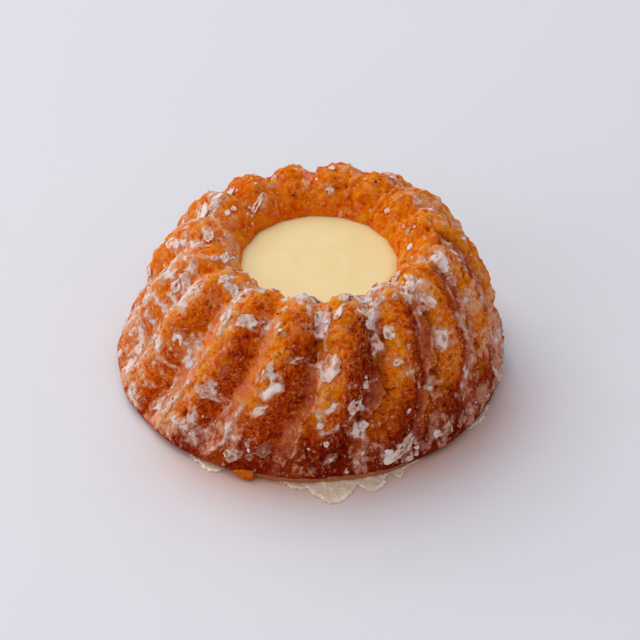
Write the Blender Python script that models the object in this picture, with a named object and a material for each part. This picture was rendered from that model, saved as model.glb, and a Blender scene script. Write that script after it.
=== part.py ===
"""A small fluted ring cake under a dried lemon sugar glaze, its well filled with pale lemon cream.

Units are metres and +Z is up. The origin is the middle of the flat underside.
Angles are in degrees: 0 is the front (-Y), and they grow towards +X.

Every point of the crust has a flute angle and a place along the profile. The profile runs from the
flat underside (0) over the rim (1) and the crest (2) to the throat of the well (3) and its floor (4).
"""

import math
import random

import bmesh
import bpy
from mathutils import Matrix, Vector, noise

# The crust's profile along the back of a ridge
BASE_RADIUS = 0.0405  # widest, at the rim
RIM_HEIGHT = 0.0016  # the rim's widest line over the table
FOOT_RADIUS = 0.0370  # the flat underside
HEIGHT = 0.0329  # the ridges, at the crest
CREST_RADIUS = 0.0238  # the ring's highest line
WALL_FULLNESS = 1.68  # 2 would make the outer wall a plain quarter ellipse
WAIST_DEPTH, WAIST_HEIGHT, WAIST_SPREAD = 0.0014, 0.0120, 0.0050  # the wall draws in over the rim
THROAT_RADIUS = 0.01545
THROAT_HEIGHT = 0.0219
FLOOR_RADIUS = 0.0125
FLOOR_HEIGHT = 0.0130

# Places along the profile
FOOT, RIM, CREST, THROAT, FLOOR = range(5)

# The flutes
FLUTES = 16
RIDGE_ANGLE = -8.5  # one ridge at the crest
GROOVE_ROUNDNESS = 0.32  # 0 would be a sharp valley
FLUTE_DEPTHS = (
    (0.5, 0.0),
    (1.0, 0.0004),
    (1.16, 0.0023),
    (1.5, 0.0031),
    (2.0, 0.0020),
    (2.3, 0.0013),
    (2.7, 0.0003),
    (3.0, 0.0),
)
SWIRL = (
    (0.0, -15.0),
    (1.0, -15.0),
    (1.16, -14.0),
    (1.45, -6.0),
    (1.7, -2.2),
    (2.0, 0.0),
    (3.0, 4.0),
    (4.0, 4.0),
)

# The crown leans to the right of the foot, and the well a little more
LEAN = ((1.0, 0.0), (1.25, 0.0013), (2.0, 0.0015), (2.6, 0.0019))

# Unevenness of a hand-dipped, oven-baked thing
RIDGE_HEIGHT_SPREAD = 0.0004
RIDGE_PLACE_SPREAD = 0.05  # of the pitch
WAVE_SIZE, WAVE_DEPTH = 0.0130, 0.0005
CRAG_SIZE, CRAG_DEPTH = 0.0030, 0.00055
CRAG_BITE = 0.35  # crags go in further than they stand out
GROOVE_CRAGS = 0.25  # of those on the ridges, as the glaze fills them

# The mesh
COLUMNS_PER_FLUTE = 8
FOOT_ROWS, WALL_ROWS, SHOULDER_ROWS, WELL_ROWS = 2, 11, 5, 3

# The cream
CREAM_LEVEL = 0.0257
CREAM_GAP = 0.0003
CREAM_BULGE = 0.0004
CREAM_EDGE_DROP = 0.00035
CREAM_RINGS = (0.94, 0.72, 0.4)  # of the outline
CREAM_SHOULDER_ROWS = 3  # from the throat up to the level

# The sugar flakes
FLAKE_SIDES = 7
FLAKE_ROOT = 0.0006  # how deep a flake is bedded in the crust
FLAKE_LIFT = (0.0004, 0.0009)  # its upper face over the crust
FLAKE_RAGGEDNESS = 0.24  # of its reach from the middle
FLAKE_CORNER_SHIFT = 0.3  # of the step from corner to corner
SMALL_FLAKES = 50
SMALL_FLAKE_LENGTH = (0.0022, 0.0040)
FLAKE_ROOM = 0.0012  # between neighbours
FLAKE_PLACES = (1.06, 2.45)  # from just over the rim to just inside the well

# The large flakes: angle, place along the profile, length and width in mm, turn from upright
LARGE_FLAKES = (
    (5, 1.56, 6.0, 3.8, 5),
    (-14, 1.45, 5.6, 3.0, 50),
    (-18, 1.34, 4.0, 3.6, 20),
    (-55, 1.48, 5.0, 4.0, -10),
    (-45, 1.42, 4.2, 2.2, 20),
    (-37, 1.34, 4.6, 3.8, 30),
    (-30, 1.76, 4.6, 3.0, 60),
    (-39, 1.74, 3.6, 2.2, 10),
    (74, 1.88, 4.2, 3.6, 40),
    (70, 1.72, 3.6, 2.6, 120),
    (89, 1.52, 5.2, 2.6, 0),
    (50, 1.76, 4.2, 3.4, 130),
    (43, 1.66, 3.4, 2.4, 30),
    (49, 1.53, 5.2, 3.2, 0),
    (29, 1.69, 3.2, 2.4, -30),
    (28, 1.11, 8.6, 3.8, 72),
    (43, 1.10, 3.2, 2.6, 0),
    (52, 1.09, 3.6, 2.6, 50),
    (-53, 1.15, 6.0, 4.6, 20),
    (-76, 1.13, 4.4, 3.0, 0),
    (-39, 1.09, 3.2, 2.8, 0),
    (-15, 1.14, 3.6, 3.0, 40),
    (5, 1.12, 3.2, 2.6, 80),
    (13, 1.09, 2.8, 2.4, 0),
    (-17, 1.52, 4.6, 1.8, 12),
    (-8, 1.60, 3.0, 2.4, 60),
    (-97, 1.68, 4.6, 3.2, 30),
    (-113, 1.86, 5.0, 3.4, 80),
    (-92, 2.12, 4.0, 2.4, 60),
    (-79, 1.40, 4.0, 2.0, 0),
    (173, 2.44, 2.6, 2.2, 0),
    (-138, 2.42, 5.0, 1.4, 60),
)

# Dried glaze that ran out under the rim: first and last angle, reach in mm, and steps along its edge
RUN_OFFS = (
    (-4, 12, 6.4, 7),
    (12, 22, 4.6, 6),
    (25, 34, 1.6, 5),
    (-38, -26, 1.8, 6),
    (54, 68, 1.2, 5),
    (143, 158, 2.6, 6),
    (-118, -104, 1.8, 6),
)
RUN_OFF_ROOT_RADIUS = 0.0355
RUN_OFF_START = BASE_RADIUS - 0.0008  # the reach is counted from here
RUN_OFF_BLUNTNESS = 0.6  # 1 would round the apron's outline like a half wave
RUN_OFF_RAGGEDNESS = 0.25  # of its reach
RUN_OFF_BOTTOM = 0.00012
RUN_OFF_THICKNESS = (0.0014, 0.0007)  # at the root and at the tip

# A lump of baked batter that sits in the rim: its angle and middle height, and its half-widths
# along the rim, outwards and upwards
LUMP_ANGLE = -20.0
LUMP_HEIGHT = 0.0017
LUMP_HALF_WIDTHS = (0.0017, 0.0012, 0.0015)

SEED = 20


def eased(places, at):
    """The value of a table of (place, value) pairs, with a smooth step between neighbours."""
    if at <= places[0][0]:
        return places[0][1]
    for (start, low), (end, high) in zip(places, places[1:]):
        if at <= end:
            share = (at - start) / (end - start)
            return low + (high - low) * share * share * (3 - 2 * share)
    return places[-1][1]


def ridge_line(place):
    """Radius and height of a ridge's back at this place along the profile."""
    stage = min(int(place), THROAT)
    turn = (place - stage) * math.pi / 2
    if stage == FOOT:
        radius = FOOT_RADIUS + (BASE_RADIUS - FOOT_RADIUS) * math.sin(turn)
        height = RIM_HEIGHT * (1 - math.cos(turn))
    elif stage == RIM:
        power = 2 / WALL_FULLNESS
        radius = CREST_RADIUS + (BASE_RADIUS - CREST_RADIUS) * max(math.cos(turn), 0.0) ** power
        height = RIM_HEIGHT + (HEIGHT - RIM_HEIGHT) * math.sin(turn) ** power
    elif stage == CREST:
        radius = CREST_RADIUS - (CREST_RADIUS - THROAT_RADIUS) * math.sin(turn)
        height = HEIGHT - (HEIGHT - THROAT_HEIGHT) * (1 - math.cos(turn))
    else:
        share = place - THROAT
        radius = THROAT_RADIUS + (FLOOR_RADIUS - THROAT_RADIUS) * share
        height = THROAT_HEIGHT + (FLOOR_HEIGHT - THROAT_HEIGHT) * share
    return radius, height


def ridge_normal(place, step=0.01):
    """The outward direction, as shares along the radius and the height."""
    r_before, z_before = ridge_line(max(place - step, FOOT))
    r_after, z_after = ridge_line(min(place + step, FLOOR))
    along = Vector((r_after - r_before, z_after - z_before)).normalized()
    return along.y, -along.x


def uneven_flutes():
    """For each ridge, how much higher it is and how far it is out of place."""
    draw = random.Random(SEED)
    heights = [draw.uniform(-1, 1) * RIDGE_HEIGHT_SPREAD for _ in range(FLUTES)]
    places = [draw.uniform(-1, 1) * RIDGE_PLACE_SPREAD for _ in range(FLUTES)]
    return heights, places


RIDGE_LIFTS, RIDGE_SHIFTS = uneven_flutes()


def flute_at(angle):
    """The nearest ridge's number, and the phase: 0 on its back, and -0.5 and 0.5 in its grooves."""
    turns = (angle - RIDGE_ANGLE) / 360 * FLUTES
    ridge = round(turns)
    phase = turns - ridge
    shift = RIDGE_SHIFTS[ridge % FLUTES] * (1 - (2 * phase) ** 2)
    return ridge % FLUTES, phase - shift


def ridge_share(phase):
    """1 on a ridge's back and 0 at the bottom of a groove."""
    soft = GROOVE_ROUNDNESS
    level = math.sqrt(math.cos(math.pi * phase) ** 2 + soft * soft) - soft
    return level / (math.sqrt(1 + soft * soft) - soft)


def waist_at(place, height):
    """How far the outer wall draws in over the rim."""
    if not RIM < place < CREST:
        return 0.0
    drawn_in = WAIST_DEPTH * math.exp(-(((height - WAIST_HEIGHT) / WAIST_SPREAD) ** 2))
    return drawn_in * min((height - RIM_HEIGHT) / (WAIST_SPREAD / 2), 1.0)


def roughness_at(place):
    """How much of the crags shows: none on the underside and in the well, little on the rim."""
    return eased(((0.5, 0.0), (1.08, 0.35), (1.25, 1.0), (2.55, 1.0), (2.8, 0.2), (3.0, 0.0)), place)


def crust_point(angle, place):
    """A point of the crust, from its flute angle and its place along the profile."""
    radius, height = ridge_line(place)
    out, up = ridge_normal(place)
    ridge, phase = flute_at(angle)
    share = ridge_share(phase)
    rough = roughness_at(place)

    true_angle = math.radians(angle + eased(SWIRL, place))
    outward = Vector((math.sin(true_angle), -math.cos(true_angle), 0))
    at = outward * radius + Vector((0, 0, height))

    lift = -eased(FLUTE_DEPTHS, place) * (1 - share) - waist_at(place, height)
    lift += RIDGE_LIFTS[ridge] * share * rough
    lift += noise.noise(at / WAVE_SIZE) * WAVE_DEPTH * rough
    crag = noise.noise(at / CRAG_SIZE) + 0.5 * noise.noise(at / CRAG_SIZE * 2.1)
    lift += (crag - CRAG_BITE) * CRAG_DEPTH * rough * (GROOVE_CRAGS + (1 - GROOVE_CRAGS) * share)

    at += (outward * out + Vector((0, 0, up))) * lift
    at.x += eased(LEAN, place)
    return at


def crust_frame(angle, place, turn_step=0.6, place_step=0.02):
    """At a point of the crust: the point, the steps that a degree and a unit of place make, and outwards."""
    at = crust_point(angle, place)
    around = crust_point(angle + turn_step, place) - crust_point(angle - turn_step, place)
    along = crust_point(angle, place + place_step) - crust_point(angle, place - place_step)
    return at, around / (2 * turn_step), along / (2 * place_step), around.cross(along).normalized()


def finish_mesh(name, bm, material):
    """A new object from a bmesh, with its faces turned outwards and shaded smooth."""
    bmesh.ops.recalc_face_normals(bm, faces=bm.faces)
    mesh = bpy.data.meshes.new(name)
    bm.to_mesh(mesh)
    bm.free()
    mesh.materials.append(material)
    mesh.shade_smooth()
    obj = bpy.data.objects.new(name, mesh)
    bpy.context.scene.collection.objects.link(obj)
    return obj


def make_material(name, colour, roughness):
    material = bpy.data.materials.new(name)
    material.use_nodes = True
    shader = material.node_tree.nodes["Principled BSDF"]
    shader.inputs["Base Color"].default_value = (*colour, 1)
    shader.inputs["Roughness"].default_value = roughness
    shader.inputs["Metallic"].default_value = 0.0
    return material


def profile_places():
    """The places of the mesh's rings, from the underside to the floor of the well."""
    rows = (FOOT_ROWS, WALL_ROWS, SHOULDER_ROWS, WELL_ROWS)
    places = [stage + step / count for stage, count in enumerate(rows) for step in range(count)]
    return places + [float(FLOOR)]


def make_crust(material):
    """The ring: its profile is spun round, closed under and in the well, and then fluted."""
    bm = bmesh.new()
    place_of = bm.verts.layers.float.new("place")
    line = []
    for place in profile_places():
        radius, height = ridge_line(place)
        vert = bm.verts.new((0, -radius, height))
        vert[place_of] = place
        line.append(vert)
    edges = [bm.edges.new(pair) for pair in zip(line, line[1:])]
    bmesh.ops.spin(
        bm,
        geom=line + edges,
        axis=(0, 0, 1),
        angle=2 * math.pi,
        steps=FLUTES * COLUMNS_PER_FLUTE,
        use_merge=True,
    )
    bmesh.ops.holes_fill(bm, edges=[edge for edge in bm.edges if edge.is_boundary])
    for vert in bm.verts:
        angle = math.degrees(math.atan2(vert.co.x, -vert.co.y)) + RIDGE_ANGLE
        vert.co = crust_point(angle, vert[place_of])
    return finish_mesh("cake", bm, material)


def slab(bm, lower, upper):
    """A closed slab between two rings of as many points, each face a fan round its middle."""
    rings = []
    for points in (lower, upper):
        ring = [bm.verts.new(point) for point in points]
        middle = bm.verts.new(sum(points, Vector()) / len(points))
        rings.append((ring, middle))
    (low, low_middle), (high, high_middle) = rings
    for k in range(len(low)):
        n = (k + 1) % len(low)
        bm.faces.new((low[n], low[k], low_middle))
        bm.faces.new((high[k], high[n], high_middle))
        bm.faces.new((low[k], low[n], high[n]))
        bm.faces.new((low[k], high[n], high[k]))


def make_flake(name, flake, draw, material):
    """A ragged plate of dried sugar that follows the crust and is bedded in it."""
    angle, place, length, width, turn = flake
    _, around, along, _ = crust_frame(angle, place)
    turn = math.radians(turn)
    lower = []
    upper = []
    for side in range(FLAKE_SIDES):
        at = 2 * math.pi * (side + draw.uniform(-1, 1) * FLAKE_CORNER_SHIFT) / FLAKE_SIDES
        reach = 1 + draw.uniform(-1, 1) * FLAKE_RAGGEDNESS
        across = width / 2 * reach * math.sin(at)
        upwards = length / 2 * reach * math.cos(at)
        sideways_step = (across * math.cos(turn) + upwards * math.sin(turn)) / around.length
        upward_step = (upwards * math.cos(turn) - across * math.sin(turn)) / along.length
        point, _, _, outwards = crust_frame(angle + sideways_step, max(place + upward_step, RIM + 0.02))
        lower.append(point - outwards * FLAKE_ROOT)
        upper.append(point + outwards * draw.uniform(*FLAKE_LIFT))
    bm = bmesh.new()
    slab(bm, lower, upper)
    return finish_mesh(name, bm, material)


def large_flakes():
    """The large flakes as (flute angle, place, length, width, turn), in metres."""
    return [
        (angle - eased(SWIRL, place), place, length / 1000, width / 1000, turn)
        for angle, place, length, width, turn in LARGE_FLAKES
    ]


def small_flakes(taken, draw):
    """Smaller flakes, spread over the crust by seeded trials and denser towards the rim."""
    spots = [(crust_point(angle, place), max(length, width)) for angle, place, length, width, _ in taken]
    flakes = []
    while len(flakes) < SMALL_FLAKES:
        low, high = FLAKE_PLACES
        place = low + (high - low) * draw.random() ** 1.25
        angle = draw.uniform(-180, 180)
        length = draw.uniform(*SMALL_FLAKE_LENGTH)
        width = length * draw.uniform(0.6, 0.95)
        turn = draw.uniform(0, 180)
        spot = crust_point(angle, place)
        if all((spot - other).length > (length + size) / 2 + FLAKE_ROOM for other, size in spots):
            spots.append((spot, length))
            flakes.append((angle, place, length, width, turn))
    return flakes


def make_run_off(name, run_off, draw, material):
    """A thin ragged apron of glaze on the table, rooted under the rim."""
    first, last, reach, points = run_off
    inner = []
    outer = []
    for k in range(points + 1):
        share = k / points
        angle = math.radians(first + (last - first) * share)
        outward = Vector((math.sin(angle), -math.cos(angle), 0))
        past = reach / 1000 * math.sin(math.pi * share) ** RUN_OFF_BLUNTNESS
        past *= draw.uniform(1 - RUN_OFF_RAGGEDNESS, 1)
        inner.append((outward * RUN_OFF_ROOT_RADIUS, RUN_OFF_THICKNESS[0]))
        outer.append((outward * (RUN_OFF_START + past), RUN_OFF_THICKNESS[1]))
    outline = inner + outer[::-1]
    floor = Vector((0, 0, RUN_OFF_BOTTOM))
    bm = bmesh.new()
    slab(
        bm,
        [point + floor for point, _ in outline],
        [point + floor + Vector((0, 0, thick)) for point, thick in outline],
    )
    return finish_mesh(name, bm, material)


def make_lump(name, material):
    """The lump of baked batter that sticks out of the rim."""
    bm = bmesh.new()
    bmesh.ops.create_icosphere(bm, subdivisions=1, radius=1)
    turn = Matrix.Rotation(math.radians(LUMP_ANGLE), 4, "Z")
    place = Matrix.Translation((0, -BASE_RADIUS, LUMP_HEIGHT))
    size = Matrix.Diagonal((*LUMP_HALF_WIDTHS, 1))
    bmesh.ops.transform(bm, matrix=turn @ place @ size, verts=bm.verts)
    return finish_mesh(name, bm, material)


def fuse(body, pieces):
    """Joins the pieces to the body by one union, and clears them away."""
    group = bpy.data.collections.new("toppings")
    bpy.context.scene.collection.children.link(group)
    for piece in pieces:
        bpy.context.scene.collection.objects.unlink(piece)
        group.objects.link(piece)
    union = body.modifiers.new("toppings", "BOOLEAN")
    union.operation = "UNION"
    union.operand_type = "COLLECTION"
    union.collection = group
    union.solver = "EXACT"
    fused = bpy.data.meshes.new_from_object(body.evaluated_get(bpy.context.evaluated_depsgraph_get()))
    body.modifiers.clear()
    body.data = fused
    for piece in pieces:
        bpy.data.objects.remove(piece)
    bpy.data.collections.remove(group)


def keep_largest_body(obj):
    """Drops scraps that the union left loose."""
    bm = bmesh.new()
    bm.from_mesh(obj.data)
    left = set(bm.verts)
    bodies = []
    while left:
        body = {left.pop()}
        edge_of_body = list(body)
        while edge_of_body:
            vert = edge_of_body.pop()
            near = {edge.other_vert(vert) for edge in vert.link_edges} & left
            left -= near
            body |= near
            edge_of_body.extend(near)
        bodies.append(body)
    bodies.sort(key=len)
    scraps = [vert for body in bodies[:-1] for vert in body]
    bmesh.ops.delete(bm, geom=scraps, context="VERTS")
    bm.to_mesh(obj.data)
    bm.free()


def cream_edge_place(angle):
    """The place on the well's wall that is level with the cream."""
    low, high = float(CREST), float(THROAT)
    for _ in range(24):
        middle = (low + high) / 2
        if crust_point(angle, middle).z > CREAM_LEVEL:
            low = middle
        else:
            high = middle
    return low


def cream_wall_point(angle, place):
    """A point of the cream's side, level with the well's wall and the gap away from it."""
    point, _, _, inwards = crust_frame(angle, place)
    return point + Vector((inwards.x, inwards.y, 0)).normalized() * CREAM_GAP


def cream_rings():
    """The cream's outline from its bottom to its middle, each ring a list of points."""
    columns = FLUTES * COLUMNS_PER_FLUTE
    angles = [RIDGE_ANGLE + 360 * k / columns for k in range(columns)]
    edges = [cream_edge_place(angle) for angle in angles]
    rings = [[cream_wall_point(angle, FLOOR - 0.03) for angle in angles]]
    for point in rings[0]:
        point.z = FLOOR_HEIGHT + CREAM_GAP
    for row in range(CREAM_SHOULDER_ROWS + 1):
        share = row / CREAM_SHOULDER_ROWS
        places = [THROAT + (edge - THROAT) * share for edge in edges]
        rings.append([cream_wall_point(angle, place) for angle, place in zip(angles, places)])
    outline = rings[-1]
    for point in outline:
        point.z = CREAM_LEVEL - CREAM_EDGE_DROP
    middle = sum(outline, Vector()) / columns
    for share in CREAM_RINGS:
        ring = [middle + (point - middle) * share for point in outline]
        for point in ring:
            point.z = CREAM_LEVEL + CREAM_BULGE * (1 - share)
        rings.append(ring)
    middle.z = CREAM_LEVEL + CREAM_BULGE
    return rings, middle


def make_cream(material):
    """The cream that fills the well up to its level."""
    rings, middle = cream_rings()
    bm = bmesh.new()
    loops = []
    for ring in rings:
        verts = [bm.verts.new(point) for point in ring]
        loops.append([bm.edges.new((verts[k - 1], verts[k])) for k in range(len(verts))])
    for lower, upper in zip(loops, loops[1:]):
        bmesh.ops.bridge_loops(bm, edges=lower + upper)
    bmesh.ops.holes_fill(bm, edges=loops[0])
    top = bmesh.ops.holes_fill(bm, edges=loops[-1])["faces"]
    poked = bmesh.ops.poke(bm, faces=top)["verts"]
    poked[0].co = middle
    return finish_mesh("cream_filling", bm, material)


def clear_scene():
    for obj in list(bpy.data.objects):
        bpy.data.objects.remove(obj)


def main():
    clear_scene()
    baked = make_material("baked_crust", (0.56, 0.19, 0.03), 0.55)
    sugar = make_material("dried_sugar_glaze", (0.80, 0.66, 0.60), 0.40)
    cream = make_material("lemon_cream", (0.82, 0.66, 0.33), 0.35)

    draw = random.Random(SEED)
    cake = make_crust(baked)
    flakes = large_flakes()
    flakes += small_flakes(flakes, draw)
    toppings = [make_flake(f"flake_{k}", flake, draw, sugar) for k, flake in enumerate(flakes)]
    toppings += [make_run_off(f"run_off_{k}", piece, draw, sugar) for k, piece in enumerate(RUN_OFFS)]
    toppings.append(make_lump("lump", baked))
    fuse(cake, toppings)
    keep_largest_body(cake)
    make_cream(cream)


main()
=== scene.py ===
"""The looks of a small fluted lemon ring cake: crumb, glaze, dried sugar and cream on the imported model.

Units are metres and +Z is up; the origin is the middle of the flat underside. Angles are in degrees: 0 is
the front (-Y), and they grow towards +X. A point of the crust has a flute angle and a place along the
profile, which runs from the flat underside (0) over the rim (1) and the crest (2) to the throat of the well
(3) and its floor (4). Colours are 0 to 255, as a screen shows them.
"""

import logging
import math
import random
from collections.abc import Iterable
from dataclasses import dataclass, field
from enum import Enum, IntEnum

import bmesh
import bpy
from mathutils import Matrix, Vector, noise
from mathutils.kdtree import KDTree


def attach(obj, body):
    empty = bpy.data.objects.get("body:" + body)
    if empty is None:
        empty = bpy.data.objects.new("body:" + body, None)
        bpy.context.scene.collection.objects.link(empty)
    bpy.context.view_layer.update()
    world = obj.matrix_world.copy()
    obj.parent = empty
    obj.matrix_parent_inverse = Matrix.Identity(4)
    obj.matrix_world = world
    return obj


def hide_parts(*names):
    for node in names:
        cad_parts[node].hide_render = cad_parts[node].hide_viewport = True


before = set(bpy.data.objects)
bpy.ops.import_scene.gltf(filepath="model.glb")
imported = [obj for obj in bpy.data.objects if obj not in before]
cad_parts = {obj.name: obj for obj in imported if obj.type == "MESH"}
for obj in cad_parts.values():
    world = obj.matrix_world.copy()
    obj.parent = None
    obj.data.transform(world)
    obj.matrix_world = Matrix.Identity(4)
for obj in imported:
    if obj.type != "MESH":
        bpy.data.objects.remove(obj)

logging.basicConfig(level=logging.INFO, format="%(message)s")
log = logging.getLogger("lemon_cake")

SKIN_LAYERS = ("glaze", "frost", "haze", "relief", "bake", "porous")
MM = 0.001

Table = tuple[tuple[float, float], ...]
Window = tuple[float, float, float, float]
Waves = tuple[tuple[float, float, tuple[float, float, float]], ...]
Colour = tuple[float, float, float]


class Landmark(IntEnum):
    """Places along the crust's profile."""

    FOOT = 0
    RIM = 1
    CREST = 2
    THROAT = 3
    FLOOR = 4


class Slot(Enum):
    """The record's material slots."""

    CRUST = "glazed_crust"
    CREAM = "lemon_cream"
    SUGAR = "sugar_glaze"


def eased(table: Table, at: float) -> float:
    """Reads a table with a smooth step between neighbours.

    Args:
        table: Pairs of place and value, in order.
        at: The place to read.

    Returns:
        The value there.
    """
    if at <= table[0][0]:
        return table[0][1]
    for (start, low), (end, high) in zip(table, table[1:]):
        if at <= end:
            share = (at - start) / (end - start)
            return low + (high - low) * share * share * (3 - 2 * share)
    return table[-1][1]


def step_between(value: float, low: float, high: float) -> float:
    """0 up to low, 1 from high on, and a smooth step between them."""
    share = min(max((value - low) / (high - low), 0.0), 1.0)
    return share * share * (3 - 2 * share)


def window(value: float, edges: Window) -> float:
    """1 between the two inner edges, 0 past the outer ones, and smooth between."""
    return step_between(value, *edges[:2]) * (1 - step_between(value, *edges[2:]))


def facing(angle: float, towards: float) -> float:
    """1 at the angle that is faced, and -1 opposite it, both in degrees."""
    return math.cos(math.radians(angle - towards))


def waves(point: Vector, layers: Waves) -> float:
    """Adds up layers of noise, each with its size, its weight and the shift that sets it apart."""
    return sum(weight * noise.noise(point / size + Vector(shift)) for size, weight, shift in layers)


def outward(angle: float) -> Vector:
    """The level unit vector that points out of the cake at this angle in degrees."""
    return Vector((math.sin(math.radians(angle)), -math.cos(math.radians(angle)), 0))


def finish_object(
    name: str, bm: bmesh.types.BMesh, material: bpy.types.Material, crisp: float = 180
) -> bpy.types.Object:
    """Makes an object from a bmesh, with its faces turned outwards and shaded smooth.

    Args:
        name: The piece's name.
        bm: The finished shape, which is freed.
        material: Its finish.
        crisp: The angle in degrees over which an edge stays sharp.

    Returns:
        The new object, linked to the scene.
    """
    bmesh.ops.recalc_face_normals(bm, faces=bm.faces)
    mesh = bpy.data.meshes.new(name)
    bm.to_mesh(mesh)
    bm.free()
    mesh.materials.append(material)
    mesh.shade_smooth()
    mesh.set_sharp_from_angle(angle=math.radians(crisp))
    obj = bpy.data.objects.new(name, mesh)
    bpy.context.scene.collection.objects.link(obj)
    return obj


def finish_piece(
    name: str,
    bm: bmesh.types.BMesh,
    material: bpy.types.Material,
    slot: Slot,
    *nodes: str,
    crisp: float = 180,
) -> bpy.types.Object:
    """Makes a piece of the cake, which rides on its body.

    Args:
        name: The piece's name.
        bm: The finished shape, which is freed.
        material: Its finish.
        slot: The record's slot that it belongs to; not used.
        nodes: The solids that it stands for.
        crisp: The angle in degrees over which an edge stays sharp.

    Returns:
        The piece.
    """
    obj = finish_object(name, bm, material, crisp)
    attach(obj, "root")
    if nodes:
        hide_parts(*nodes)
    return obj


def faces_at(verts: Iterable[bmesh.types.BMVert]) -> list[bmesh.types.BMFace]:
    """The faces that meet at these points, each once."""
    return list(dict.fromkeys(face for vert in verts for face in vert.link_faces))


def doubled(bm: bmesh.types.BMesh, faces: list[bmesh.types.BMFace]) -> list[bmesh.types.BMVert]:
    """Closes an open sheet of faces by a second skin.

    Args:
        bm: The bmesh that has them.
        faces: The sheet.

    Returns:
        The second skin's points, which still lie on the first's.
    """
    skin = bmesh.ops.extrude_face_region(bm, geom=faces, use_keep_orig=True)["geom"]
    return [item for item in skin if isinstance(item, bmesh.types.BMVert)]


# ---------------------------------------------------------------- the cake's form


@dataclass(frozen=True)
class Station:
    """What the crust's profile has at one place."""

    radius: float
    height: float
    out: float
    up: float
    flute_depth: float
    waist: float
    roughness: float
    swirl: float
    lean: float


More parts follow.
